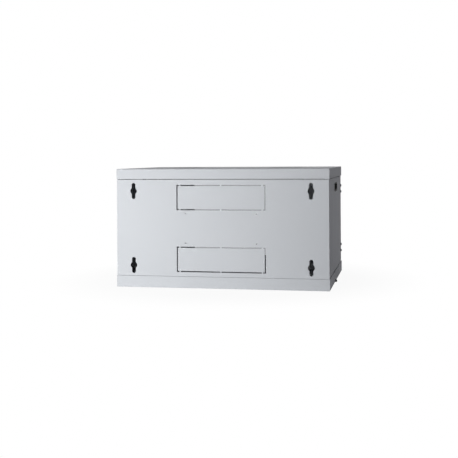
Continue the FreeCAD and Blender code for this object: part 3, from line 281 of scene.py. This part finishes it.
def zinc_plate(settings):
    """Bright zinc electroplate over rolled steel: pale metal, faintly clouded and a little blue."""
    material, tree, output, place = blank("Zinc plated steel")
    # Spangle of the passivated film, in clouds of about 12 mm.
    cloud = node(
        tree, "ShaderNodeTexNoise", links={"Vector": place}, Scale=1 / (12 * MM), Detail=3.0
    )
    tint = node(tree, "ShaderNodeValToRGB", links={"Fac": cloud.outputs["Fac"]})
    base = linear(settings.zinc)
    tint.color_ramp.elements[0].position = 0.35
    tint.color_ramp.elements[1].position = 0.65
    tint.color_ramp.elements[0].color = [base[0] * 0.86, base[1] * 0.88, base[2] * 0.9, 1.0]
    tint.color_ramp.elements[1].color = base
    # Rolling marks, 0.4 mm apart and 30 mm long, run up the sheet.
    across, along = 1 / (0.4 * MM), 1 / (30 * MM)
    stretch = node(
        tree, "ShaderNodeMapping", links={"Vector": place}, Scale=(across, across, along)
    )
    roll = node(
        tree, "ShaderNodeTexNoise", links={"Vector": stretch.outputs["Vector"]}, Scale=1.0, Detail=2.0
    )
    rough = node(
        tree,
        "ShaderNodeMapRange",
        links={"Value": roll.outputs["Fac"]},
        To_Min=0.26,
        To_Max=0.42,
    )
    bump = node(
        tree,
        "ShaderNodeBump",
        links={"Height": roll.outputs["Fac"]},
        Strength=0.1,
        Distance=0.03 * MM,
    )
    shader = node(
        tree,
        "ShaderNodeBsdfPrincipled",
        links={
            "Base Color": tint.outputs["Color"],
            "Roughness": rough.outputs["Result"],
            "Normal": bump.outputs["Normal"],
        },
        Metallic=1.0,
    )
    tree.links.new(shader.outputs["BSDF"], output.inputs["Surface"])
    return material


def plain_grain(name, colour, grain, depth, low, high, **sockets):
    """A one-coloured material, with a grain of a given size and depth and a range of roughness."""
    material, tree, output, place = blank(name)
    noise = node(tree, "ShaderNodeTexNoise", links={"Vector": place}, Scale=1 / grain, Detail=3.0)
    tint = node(tree, "ShaderNodeValToRGB", links={"Fac": noise.outputs["Fac"]})
    base = linear(colour)
    tint.color_ramp.elements[0].color = shaded(base, 0.85)
    tint.color_ramp.elements[1].color = shaded(base, 1.15)
    rough = node(
        tree,
        "ShaderNodeMapRange",
        links={"Value": noise.outputs["Fac"]},
        To_Min=low,
        To_Max=high,
    )
    bump = node(
        tree,
        "ShaderNodeBump",
        links={"Height": noise.outputs["Fac"]},
        Strength=0.3,
        Distance=depth,
    )
    shader = node(
        tree,
        "ShaderNodeBsdfPrincipled",
        links={
            "Base Color": tint.outputs["Color"],
            "Roughness": rough.outputs["Result"],
            "Normal": bump.outputs["Normal"],
        },
        **sockets,
    )
    tree.links.new(shader.outputs["BSDF"], output.inputs["Surface"])
    return material


def black_oxide(settings):
    """Steel blackened in a salt bath: near black with a dull, oily sheen."""
    return plain_grain(
        "Black oxide steel", settings.black_steel, 0.5 * MM, 0.02 * MM, 0.6, 0.75, IOR=1.45
    )


def moulded_plastic(settings):
    """ABS moulded in a spark-eroded tool: matt black with a fine, even grain."""
    return plain_grain("Moulded ABS, black", settings.latch, 0.5 * MM, 0.05 * MM, 0.75, 0.9, IOR=1.5)


def extruded_rubber(settings):
    """Extruded EPDM: dull black that a fingertip would grip."""
    return plain_grain("EPDM rubber", settings.rubber, 0.8 * MM, 0.04 * MM, 0.6, 0.78, IOR=1.5)


def chromed_zinc(settings):
    """Die-cast zinc, polished and chromed: a bright, slightly soft mirror."""
    return plain_grain(
        "Chromed zinc casting", settings.chrome, 3 * MM, 0.02 * MM, 0.12, 0.2, Metallic=1.0
    )


def toughened_glass(settings):
    """Float glass with a grey body tint, toughened: clear, smooth and faintly wavy."""
    material, tree, output, place = blank("Toughened glass, grey tint")
    # Roller waves of the toughening oven, some 60 mm apart.
    wave = node(
        tree, "ShaderNodeTexNoise", links={"Vector": place}, Scale=1 / (60 * MM), Detail=0.0
    )
    bump = node(
        tree,
        "ShaderNodeBump",
        links={"Height": wave.outputs["Fac"]},
        Strength=0.05,
        Distance=0.05 * MM,
    )
    shader = node(
        tree,
        "ShaderNodeBsdfPrincipled",
        links={"Normal": bump.outputs["Normal"]},
        Base_Color=linear(settings.glass),
        Roughness=0.0,
        IOR=1.52,
        Transmission_Weight=1.0,
    )
    tree.links.new(shader.outputs["BSDF"], output.inputs["Surface"])
    return material


MAKERS = {
    "powder_coated_steel": powder_coat,
    "zinc_plated_steel": zinc_plate,
    "black_steel": black_oxide,
    "black_plastic": moulded_plastic,
    "black_rubber": extruded_rubber,
    "chromed_zinc": chromed_zinc,
    "tinted_glass": toughened_glass,
}
FINISHES = {}


def finish_of(slot):
    """The material for one of the record's slots, made when it is first asked for."""
    if slot not in FINISHES:
        FINISHES[slot] = MAKERS[slot](bpy.context.scene.cabinet_finish)
    return FINISHES[slot]


class CABINET_OT_finishes(bpy.types.Operator):
    """Gives each node of the frame its finish"""

    bl_idname = "cabinet.finishes"
    bl_label = "Finishes"

    def execute(self, context):
        for name, thing in frame["nodes"].items():
            for slot in thing.material_slots:
                slot.material = finish_of(SLOTS[name])
        return {"FINISHED"}


# Shapes of the fixings

STEPS_ROUND = 48
STEPS_PITCH = 6
STEPS_QUARTER = 6
ROUND = [math.tau * i / STEPS_ROUND for i in range(STEPS_ROUND)]
QUARTER = [math.pi / 2 * i / STEPS_QUARTER for i in range(STEPS_QUARTER + 1)]
SHARP_ANGLE = math.radians(35)


def solids(name):
    """Lowest and highest corner of each separate solid in a node."""
    shape = bmesh.new()
    shape.from_mesh(frame["nodes"][name].data)
    bmesh.ops.remove_doubles(shape, verts=shape.verts, dist=1e-6)
    boxes, left = [], set(shape.verts)
    while left:
        waiting = [left.pop()]
        found = []
        while waiting:
            vert = waiting.pop()
            found.append(vert.co.copy())
            for edge in vert.link_edges:
                other = edge.other_vert(vert)
                if other in left:
                    left.remove(other)
                    waiting.append(other)
        low = Vector([min(co[i] for co in found) for i in range(3)])
        high = Vector([max(co[i] for co in found) for i in range(3)])
        boxes.append((low, high))
    shape.free()
    return sorted(boxes, key=lambda box: [round(c, 6) for c in box[0]])


def facing(point, direction):
    """A frame at a point, whose own upward axis lies along a direction."""
    turn = Vector(direction).to_track_quat("Z", "Y").to_matrix().to_4x4()
    return Matrix.Translation(Vector(point)) @ turn


def worth(number, angle):
    """A plain number, or the value at an angle of one that changes round the axis."""
    return number(angle) if callable(number) else number


def turned(shape, place, rows, angles=ROUND, closed=False):
    """Skins rings round an axis. A row is a height and a radius, plain or worked out by angle."""
    rings = []
    for height, radius in rows:
        if radius == 0:
            rings.append([shape.verts.new(place @ Vector((0, 0, height)))])
            continue
        ring = []
        for angle in angles:
            r = worth(radius, angle)
            point = (r * math.cos(angle), r * math.sin(angle), worth(height, angle))
            ring.append(shape.verts.new(place @ Vector(point)))
        rings.append(ring)
    if closed:
        rings.append(rings[0])
    count = len(angles)
    for near, far in zip(rings, rings[1:]):
        for i in range(count):
            j = (i + 1) % count
            corners = [near[i % len(near)], near[j % len(near)], far[j % len(far)], far[i % len(far)]]
            shape.faces.new(list(dict.fromkeys(corners)))


def block(shape, low, high, rounding):
    """A block between two corners, with rounded edges."""
    made = bmesh.ops.create_cube(shape, size=1.0)
    low, high = Vector(map(min, low, high)), Vector(map(max, low, high))
    for vert in made["verts"]:
        vert.co = [low[i] + (vert.co[i] + 0.5) * (high[i] - low[i]) for i in range(3)]
    edges = list(dict.fromkeys(edge for vert in made["verts"] for edge in vert.link_edges))
    bmesh.ops.bevel(
        shape, geom=edges, offset=rounding, segments=2, profile=0.5, affect="EDGES", clamp_overlap=True
    )


def piece(name, shape, cad_node):
    """A shape as a piece that stands for a node: it rides on its body and takes its finish."""
    bmesh.ops.recalc_face_normals(shape, faces=shape.faces)
    mesh = bpy.data.meshes.new(name)
    shape.to_mesh(mesh)
    shape.free()
    mesh.polygons.foreach_set("use_smooth", [True] * len(mesh.polygons))
    mesh.set_sharp_from_angle(angle=SHARP_ANGLE)
    thing = bpy.data.objects.new(name, mesh)
    bpy.context.scene.collection.objects.link(thing)
    mesh.materials.append(finish_of(SLOTS[cad_node]))
    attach(thing, BODIES[cad_node])
    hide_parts(cad_node)
    return thing


def thread(start, end, radius, pitch, depth):
    """Rows of a screw thread between two heights, which runs out over its last pitch."""
    low, high = min(start, end), max(start, end)
    count = max(2, round((high - low) / pitch * STEPS_PITCH))
    rows = []
    for i in range(count + 1):
        height = start + (end - start) * i / count
        fade = min(1.0, (height - low) / pitch, (high - height) / pitch)

        def groove(angle, height=height, fade=fade):
            phase = (height / pitch - angle / math.tau) % 1.0
            return radius - depth * max(fade, 0.0) * abs(2 * phase - 1)

        rows.append((height, groove))
    return rows


# Shares of a screw's own sizes, and small sizes that all the fixings have in common

DOME_SIDE = 0.3  # upright side of a domed head, of its height
FLAT_TOP = {"cross": 0.62, "hexagon": 0.78}  # flat top of a domed head, of its radius
RECESS_ROOM = 0.92  # widest recess, of that flat top
RECESS_DEPTH = 0.62  # of the head's height
RECESS_TAPER = 0.82  # floor of a recess, of its mouth
RECESS_POINT = 1.15  # deepest point of a recess, of its depth
TIP_CHAMFER = 0.4  # most that the tip's chamfer takes, of the shank's radius
CROWN = 0.47  # round end face of a nut, of its width across flats
CROSS_ARM = math.radians(15)
CROWN_SLOPE = math.tan(math.radians(30))
TIP_STEP = 0.1 * MM
RUNOUT = 0.3 * MM
THREAD_PLAY = 0.05 * MM


def domed(radius, height, flat):
    """Rows of a head from its seat to the rim of its flat top."""
    side = height * DOME_SIDE
    rows = [(0.0, radius)]
    rows += [
        (side + (height - side) * math.sin(turn), flat + (radius - flat) * math.cos(turn))
        for turn in QUARTER
    ]
    return rows


def cross(reach):
    """Outline of a cross recess: arms whose corners lie 15 degrees off their middles."""
    half = reach * math.tan(CROSS_ARM)

    def outline(angle):
        turn = abs((angle + math.pi / 4) % (math.pi / 2) - math.pi / 4)
        if turn <= CROSS_ARM + 1e-6:
            return reach / math.cos(turn)
        return half / math.sin(turn)

    return outline


def hexagon(flats):
    """Outline of a hexagon, by its width across flats."""

    def outline(angle):
        return flats / 2 / math.cos(angle % (math.pi / 3) - math.pi / 6)

    return outline


def recess(top, outline, depth):
    """Rows of a socket that narrows a little towards its floor."""
    return [
        (top, outline),
        (top - depth, lambda angle: outline(angle) * RECESS_TAPER),
        (top - depth * RECESS_POINT, 0),
    ]


def screw_rows(settings, head, head_height, shank, tip, pitch, socket=None):
    """Rows of a screw from its tip to its head, whose seat is at height 0."""
    depth = pitch * settings.thread_share
    chamfer = min(depth, shank * TIP_CHAMFER)
    rows = [(-tip, 0), (-tip, shank - chamfer - TIP_STEP)]
    rows += thread(-tip + chamfer, -RUNOUT, shank, pitch, depth)
    rows.append((0.0, shank))
    flat = head * FLAT_TOP["hexagon" if socket else "cross"]
    rows += domed(head, head_height, flat)
    reach = min(head * settings.recess_share, flat * RECESS_ROOM)
    outline = hexagon(socket) if socket else cross(reach)
    return rows + recess(head_height, outline, head_height * RECESS_DEPTH)


def nut_rows(flats, height, bore):
    """Rows of a nut with both ends chamfered and a countersunk bore."""
    outline = hexagon(flats)
    crown = flats * CROWN
    sink = 0.3 * MM
    return [
        (0.0, bore + sink),
        (0.0, crown),
        (lambda angle: (outline(angle) - crown) * CROWN_SLOPE, outline),
        (lambda angle: height - (outline(angle) - crown) * CROWN_SLOPE, outline),
        (height, crown),
        (height, bore + sink),
        (height - sink, bore),
        (sink, bore),
    ]


# Screws, in millimetres: shank radius, pitch, height of the head, and width of a hexagon socket

SCREWS = {
    "hinge_screws": (2.5, 0.8, 3.7, 0),
    "support_screws": (2.5, 0.8, 2.6, 0),
    "edge_screws": (1.5, 0.5, 5.5, 0),
    "rail_screws_left": (3.0, 1.0, 3.6, 5.0),
    "rail_screws_right": (3.0, 1.0, 3.6, 5.0),
}


class CABINET_OT_screws(bpy.types.Operator):
    """Screws across the cabinet, with domed heads, recesses and threads"""

    bl_idname = "cabinet.screws"
    bl_label = "Screws"

    def execute(self, context):
        settings = context.scene.cabinet_fixing
        for name, sizes in SCREWS.items():
            shape = bmesh.new()
            for low, high in solids(name):
                self.model(shape, settings, name, low, high, [size * MM for size in sizes])
            piece("dressed_" + name, shape, name)
        return {"FINISHED"}

    def model(self, shape, settings, name, low, high, sizes):
        shank, pitch, head_height, socket = sizes
        middle = (low + high) / 2
        head = (high.z - low.z) / 2
        # The heads of the rails' and supports' screws look inward, the others outward.
        inward = name.startswith(("rail", "support"))
        out = -1 if (middle.x > 0) == inward else 1
        end = high.x if out > 0 else low.x
        seat = end - out * head_height
        tip = high.x - low.x - head_height
        place = facing((seat, middle.y, middle.z), (out, 0, 0))
        turned(shape, place, screw_rows(settings, head, head_height, shank, tip, pitch, socket))


# Nuts: the axis that each lies along and the radius of its thread, in millimetres

NUTS = {
    "support_nuts": ("x", 2.5),
    "edge_screw_nuts": ("x", 1.5),
    "rail_nuts_left": ("x", 3.0),
    "rail_nuts_right": ("x", 3.0),
    "retainer_nuts": ("y", 2.0),
    "earth_nuts": ("z", 3.0),
    "lock_nut": ("y", 9.0),
}
AXES = {"x": Vector((1, 0, 0)), "y": Vector((0, 1, 0)), "z": Vector((0, 0, 1))}


class CABINET_OT_nuts(bpy.types.Operator):
    """Hexagon nuts with chamfered ends"""

    bl_idname = "cabinet.nuts"
    bl_label = "Nuts"

    def execute(self, context):
        for name, (axis, radius) in NUTS.items():
            shape = bmesh.new()
            for low, high in solids(name):
                self.model(shape, AXES[axis], low, high, radius * MM)
            piece("chamfered_" + name, shape, name)
        return {"FINISHED"}

    def model(self, shape, along, low, high, radius):
        size = high - low
        height = size.dot(along)
        flats = min(size[i] for i in range(3) if not along[i])
        base = (low + high) / 2 - along * height / 2
        # The nut's corner lies on the axis along which it is wider.
        wide = next(i for i in range(3) if not along[i] and size[i] > flats + 0.1 * MM)
        corner = Vector([1.0 if i == wide else 0.0 for i in range(3)])
        turn = Matrix((corner, along.cross(corner), along)).transposed().to_4x4()
        rows = nut_rows(flats, height, radius + THREAD_PLAY)
        turned(shape, Matrix.Translation(base) @ turn, rows, closed=True)


# Studs: the axis that each lies along and its pitch, in millimetres

STUDS = {"retainer_studs": ("y", 0.7), "earth_stud": ("z", 1.0)}


class CABINET_OT_studs(bpy.types.Operator):
    """Threaded studs for the glass strips and the earth lead, and the earth washer"""

    bl_idname = "cabinet.studs"
    bl_label = "Studs and washer"

    def execute(self, context):
        settings = context.scene.cabinet_fixing
        for name, (axis, pitch) in STUDS.items():
            shape = bmesh.new()
            for low, high in solids(name):
                self.model(shape, settings, AXES[axis], low, high, pitch * MM)
            piece("threaded_" + name, shape, name)
        self.washer()
        return {"FINISHED"}

    def model(self, shape, settings, along, low, high, pitch):
        size = high - low
        height = size.dot(along)
        radius = min(size[i] for i in range(3) if not along[i]) / 2
        base = (low + high) / 2 - along * height / 2
        depth = pitch * settings.thread_share
        # The foot is plain where it is welded on.
        foot, start = 0.8 * MM, 0.9 * MM
        rows = [(0.0, 0), (0.0, radius), (foot, radius)]
        rows += thread(start, height - depth, radius, pitch, depth)
        rows += [(height, radius - depth - TIP_STEP), (height, 0)]
        turned(shape, facing(base, along), rows)

    def washer(self):
        low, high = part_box("earth_washer")
        thick, outer, inner, edge = high.z - low.z, (high.x - low.x) / 2, 3.3 * MM, 0.25 * MM
        middle = (low + high) / 2
        rows = [
            (0.0, inner + edge / 2),
            (0.0, outer - edge),
            (edge, outer),
            (thick - edge, outer),
            (thick, outer - edge),
            (thick, inner + edge / 2),
            (thick - edge / 2, inner),
            (edge / 2, inner),
        ]
        shape = bmesh.new()
        turned(shape, facing((middle.x, middle.y, low.z), AXES["z"]), rows, closed=True)
        piece("pressed_earth_washer", shape, "earth_washer")


class CABINET_OT_hinge_pins(bpy.types.Operator):
    """Hinge pins with a domed head and a chamfered end"""

    bl_idname = "cabinet.hinge_pins"
    bl_label = "Hinge pins"

    def execute(self, context):
        head_height, shank, nose = 1.5 * MM, 2.5 * MM, 0.6 * MM
        for end in ("upper", "lower"):
            name = "hinge_pin_" + end
            low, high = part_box(name)
            middle = (low + high) / 2
            head = (high.x - low.x) / 2
            flat = head * 0.35
            tip = high.z - low.z - head_height
            rows = [(-tip, 0), (-tip, shank - nose), (-tip + nose, shank), (0.0, shank)]
            rows += domed(head, head_height, flat) + [(head_height, 0)]
            shape = bmesh.new()
            turned(shape, facing((middle.x, middle.y, high.z - head_height), AXES["z"]), rows)
            piece("domed_" + name, shape, name)
        return {"FINISHED"}


class CABINET_OT_bumpers(bpy.types.Operator):
    """Rubber buttons that the door closes on, with rounded rims"""

    bl_idname = "cabinet.bumpers"
    bl_label = "Door bumpers"

    def execute(self, context):
        rounding = context.scene.cabinet_fixing.bump_round
        shape = bmesh.new()
        for low, high in solids("door_bumpers"):
            middle, radius, height = (low + high) / 2, (high.x - low.x) / 2, high.y - low.y
            rows = [(0.0, 0), (0.0, radius)]
            for turn in QUARTER:
                rise = height - rounding + rounding * math.sin(turn)
                rows.append((rise, radius - rounding + rounding * math.cos(turn)))
            rows.append((height, 0))
            turned(shape, facing((middle.x, high.y, middle.z), (0, -1, 0)), rows)
        piece("rounded_door_bumpers", shape, "door_bumpers")
        return {"FINISHED"}


class CABINET_OT_lock(bpy.types.Operator):
    """The cam lock: chromed ring and body, cylinder with its keyway, and the cam's screw"""

    bl_idname = "cabinet.lock"
    bl_label = "Lock"

    def execute(self, context):
        low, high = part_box("lock_housing")
        middle = (low + high) / 2
        ring = 2.5 * MM
        place = facing((middle.x, low.y + ring, middle.z), (0, -1, 0))
        self.housing(place, (high.x - low.x) / 2, ring, high.y - low.y - ring)
        self.cylinder(place, ring)
        self.cam_screw(context.scene.cabinet_fixing)
        return {"FINISHED"}

    def housing(self, place, radius, ring, reach):
        bore, barrel, chamfer, runout = 6.05 * MM, 9 * MM, 0.8 * MM, 1.2 * MM
        pitch, depth = 1.0 * MM, 0.54 * MM
        side, dome = ring * 0.4, ring * 0.6
        rows = [(-reach, bore), (-reach, barrel - chamfer)]
        rows += thread(-reach + chamfer, -runout, barrel, pitch, depth)
        rows += [(0.0, barrel), (0.0, radius)]
        rows += [
            (side + dome * math.sin(turn), radius - ring * (1 - math.cos(turn))) for turn in QUARTER
        ]
        # The ring's face falls to a small step round the cylinder.
        step, rim, foot = ring - 0.5 * MM, bore + 1.2 * MM, bore + 0.9 * MM
        rows += [(ring, rim), (step, foot), (step, bore)]
        shape = bmesh.new()
        turned(shape, place, rows, closed=True)
        piece("chromed_lock_housing", shape, "lock_housing")

    def cylinder(self, place, ring):
        low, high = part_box("lock_cylinder")
        reach = high.y - low.y - ring
        core, tail, shoulder, edge = 6 * MM, 4 * MM, 21 * MM, 0.3 * MM
        # The keyway stands upright while the lock is at rest.
        half_width, half_height, keyway = 0.7 * MM, 4 * MM, 12 * MM
        corner = math.atan2(half_width, half_height)
        corners = {
            (quarter + sign * corner) % math.tau
            for quarter in (math.pi / 2, -math.pi / 2)
            for sign in (-1, 1)
        }

        def slot(angle):
            sine, cosine = abs(math.sin(angle)), abs(math.cos(angle))
            return min(
                half_width / cosine if cosine > 1e-9 else half_height,
                half_height / sine if sine > 1e-9 else half_width,
            )

        front = ring - 0.4 * MM
        rows = [
            (-reach, 0),
            (-reach, tail - edge),
            (-reach + edge, tail),
            (-shoulder, tail),
            (-shoulder, core - edge),
            (-shoulder + edge, core),
            (front - edge, core),
            (front, core - edge),
            (front, slot),
            (front - keyway, slot),
            (front - keyway, 0),
        ]
        shape = bmesh.new()
        turned(shape, place, rows, angles=sorted(set(ROUND) | corners))
        piece("chromed_lock_cylinder", shape, "lock_cylinder")

    def cam_screw(self, settings):
        low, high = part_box("cam_screw")
        middle, head = (low + high) / 2, (high.x - low.x) / 2
        head_height, shank, pitch = 3 * MM, 2 * MM, 0.7 * MM
        tip = high.y - low.y - head_height
        shape = bmesh.new()
        place = facing((middle.x, high.y - head_height, middle.z), AXES["y"])
        turned(shape, place, screw_rows(settings, head, head_height, shank, tip, pitch))
        piece("dressed_cam_screw", shape, "cam_screw")


class CABINET_OT_latches(bpy.types.Operator):
    """Sliders of the side latches, each with a ribbed finger tab"""

    bl_idname = "cabinet.latches"
    bl_label = "Side latches"

    def execute(self, context):
        rib = context.scene.cabinet_fixing.rib
        for end, side in SIDES.items():
            self.slider("latch_slider_" + end, side, rib)
        return {"FINISHED"}

    def slider(self, name, side, rib):
        low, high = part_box(name)
        plate, sunk, proud = 2 * MM, 0.5 * MM, 0.4 * MM
        round_plate, round_tab = 0.3 * MM, 0.5 * MM
        inner, outer = (high.x, low.x) if side < 0 else (low.x, high.x)
        face = inner + side * plate
        shape = bmesh.new()
        block(shape, (inner, low.y, low.z), (face, high.y, high.z), round_plate)
        middle = (low.y + high.y) / 2
        foot, top, half = low.z + 2.5 * MM, low.z + 7.5 * MM, 6 * MM
        tab_face = outer - side * proud
        block(
            shape,
            (face - side * sunk, middle - half, foot),
            (tab_face, middle + half, top),
            round_tab,
        )
        ribs, rib_share = 3, 0.8
        for i in range(ribs):
            level = foot + (top - foot) * (i + 0.5) / ribs
            block(
                shape,
                (tab_face - side * sunk, middle - half * rib_share, level - rib / 2),
                (outer, middle + half * rib_share, level + rib / 2),
                round_plate,
            )
        piece("ribbed_" + name, shape, name)


# Stage


def looked_at(tree):
    """One where the eye looks, straight or by a mirror or through glass, and nought for light that
    has come off a surface, so that the white round the cabinet doesn't light its inside."""
    path = node(tree, "ShaderNodeLightPath")
    seen = path.outputs["Is Camera Ray"]
    for kind in ("Glossy", "Transmission"):
        seen = node(
            tree,
            "ShaderNodeMath",
            settings={"operation": "MAXIMUM"},
            links={0: seen, 1: path.outputs[f"Is {kind} Ray"]},
        ).outputs[0]
    first = node(
        tree,
        "ShaderNodeMath",
        settings={"operation": "LESS_THAN"},
        links={0: path.outputs["Diffuse Depth"]},
    )
    first.inputs[1].default_value = 0.5
    return node(
        tree,
        "ShaderNodeMath",
        settings={"operation": "MULTIPLY"},
        links={0: seen, 1: first.outputs[0]},
    ).outputs[0]


# Soft boxes: width in metres, colour, and where each one hangs. All of them look at one spot.

LAMPS = {
    "key": (0.28, (0.98, 0.995, 1.0), (0.77, 1.42, -0.02)),
    "high": (1.5, (1.0, 1.0, 1.0), (0.4, -2.4, 1.6)),
    "low": (0.28, (1.0, 1.0, 1.0), (0.9, -1.8, -0.02)),
}
LAMPS_AIM = (0.1, 0.0, 0.0)
FILL_COLOUR = (0.78, 0.76, 1.0, 1.0)

# Half the floor's width, and how far from the cabinet's middle its shade begins and ends to fade

FLOOR_REACH = 12.0
SHADE_FROM = 0.3
SHADE_TO = 0.6


class CABINET_OT_stage(bpy.types.Operator):
    """Sets up the floor, the studio's light and the photograph's camera"""

    bl_idname = "cabinet.stage"
    bl_label = "Stage"

    def execute(self, context):
        settings = context.scene.cabinet_stage
        self.lay_floor(settings)
        self.light(context.scene, settings)
        self.camera(context.scene, settings)
        return {"FINISHED"}

    def lay_floor(self, settings):
        low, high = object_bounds()
        mesh = bpy.data.meshes.new("Studio floor")
        corners = [
            (x * FLOOR_REACH, y * FLOOR_REACH, low[2]) for x, y in ((-1, -1), (1, -1), (1, 1), (-1, 1))
        ]
        mesh.from_pydata(corners, [], [(0, 1, 2, 3)])
        floor = bpy.data.objects.new("Studio floor", mesh)
        bpy.context.scene.collection.objects.link(floor)
        # White board: pure white to the eye, but for a trace of the shadow close to the cabinet.
        material, tree, output, place = blank("White studio board")
        board = node(tree, "ShaderNodeBsdfDiffuse", Color=(0.8, 0.8, 0.8, 1.0))
        white = node(tree, "ShaderNodeEmission", Strength=1.0)
        centre = node(
            tree,
            "ShaderNodeVectorMath",
            settings={"operation": "DISTANCE"},
            links={0: place},
        )
        centre.inputs[1].default_value = (0.0, (low[1] + high[1]) / 2, low[2])
        fade = node(
            tree,
            "ShaderNodeMapRange",
            settings={"interpolation_type": "SMOOTHSTEP"},
            links={"Value": centre.outputs["Value"]},
            From_Min=SHADE_FROM,
            From_Max=SHADE_TO,
            To_Min=1 - settings.shade,
            To_Max=1.0,
        )
        whiteness = node(
            tree,
            "ShaderNodeMath",
            settings={"operation": "MULTIPLY"},
            links={0: looked_at(tree), 1: fade.outputs["Result"]},
        )
        mix = node(
            tree,
            "ShaderNodeMixShader",
            links={0: whiteness.outputs[0], 1: board.outputs[0], 2: white.outputs[0]},
        )
        tree.links.new(mix.outputs[0], output.inputs["Surface"])
        mesh.materials.append(material)
        floor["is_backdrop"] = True

    def light(self, scene, settings):
        world = bpy.data.worlds.new("Studio")
        scene.world = world
        world.use_nodes = True
        tree = world.node_tree
        tree.nodes.clear()
        dim = node(tree, "ShaderNodeBackground", Color=FILL_COLOUR, Strength=settings.fill)
        white = node(tree, "ShaderNodeBackground", Color=(1.0, 1.0, 1.0, 1.0), Strength=1.0)
        mix = node(
            tree,
            "ShaderNodeMixShader",
            links={0: looked_at(tree), 1: dim.outputs[0], 2: white.outputs[0]},
        )
        output = node(tree, "ShaderNodeOutputWorld")
        tree.links.new(mix.outputs[0], output.inputs["Surface"])
        for name, (size, colour, place) in LAMPS.items():
            self.lamp(name, size, getattr(settings, name), colour, place)

    def lamp(self, name, size, power, colour, place):
        data = bpy.data.lights.new(name, "AREA")
        data.shape = "SQUARE"
        data.size = size
        data.energy = power
        data.color = colour
        lamp = bpy.data.objects.new(name, data)
        bpy.context.scene.collection.objects.link(lamp)
        lamp.location = place
        line = Vector(LAMPS_AIM) - Vector(place)
        lamp.rotation_euler = line.to_track_quat("-Z", "Y").to_euler()

    def camera(self, scene, settings):
        data = bpy.data.cameras.new("Camera")
        data.sensor_width = 36.0
        data.lens = settings.lens
        data.shift_y = settings.rise
        camera = bpy.data.objects.new("Camera", data)
        scene.collection.objects.link(camera)
        camera.location = settings.camera
        level = Matrix.Rotation(math.pi + settings.turn, 4, "Z") @ Matrix.Rotation(math.pi / 2, 4, "X")
        camera.rotation_euler = (level @ Matrix.Rotation(settings.roll, 4, "Z")).to_euler()
        scene.camera = camera
        scene.view_settings.view_transform = "Standard"


STEPS = ("finishes", "screws", "nuts", "studs", "hinge_pins", "bumpers", "lock", "latches", "stage")


class CABINET_PT_panel(bpy.types.Panel):
    """Lists the steps that dress the cabinet"""

    bl_label = "Network cabinet"
    bl_space_type = "VIEW_3D"
    bl_region_type = "UI"
    bl_category = "Cabinet"

    def draw(self, context):
        for name in ("cabinet_finish", "cabinet_fixing", "cabinet_stage"):
            group = getattr(context.scene, name)
            for key in group.__annotations__:
                self.layout.prop(group, key)
        for step in STEPS:
            self.layout.operator("cabinet." + step)


CLASSES = (
    FinishSettings,
    FixingSettings,
    StageSettings,
    CABINET_OT_finishes,
    CABINET_OT_screws,
    CABINET_OT_nuts,
    CABINET_OT_studs,
    CABINET_OT_hinge_pins,
    CABINET_OT_bumpers,
    CABINET_OT_lock,
    CABINET_OT_latches,
    CABINET_OT_stage,
    CABINET_PT_panel,
)


def register():
    for each in CLASSES:
        bpy.utils.register_class(each)
    bpy.types.Scene.cabinet_finish = PointerProperty(type=FinishSettings)
    bpy.types.Scene.cabinet_fixing = PointerProperty(type=FixingSettings)
    bpy.types.Scene.cabinet_stage = PointerProperty(type=StageSettings)


def unregister():
    del bpy.types.Scene.cabinet_stage
    del bpy.types.Scene.cabinet_fixing
    del bpy.types.Scene.cabinet_finish
    for each in reversed(CLASSES):
        bpy.utils.unregister_class(each)


def main():
    register()
    for step in STEPS:
        getattr(bpy.ops.cabinet, step)()


if __name__ == "__main__":
    main()
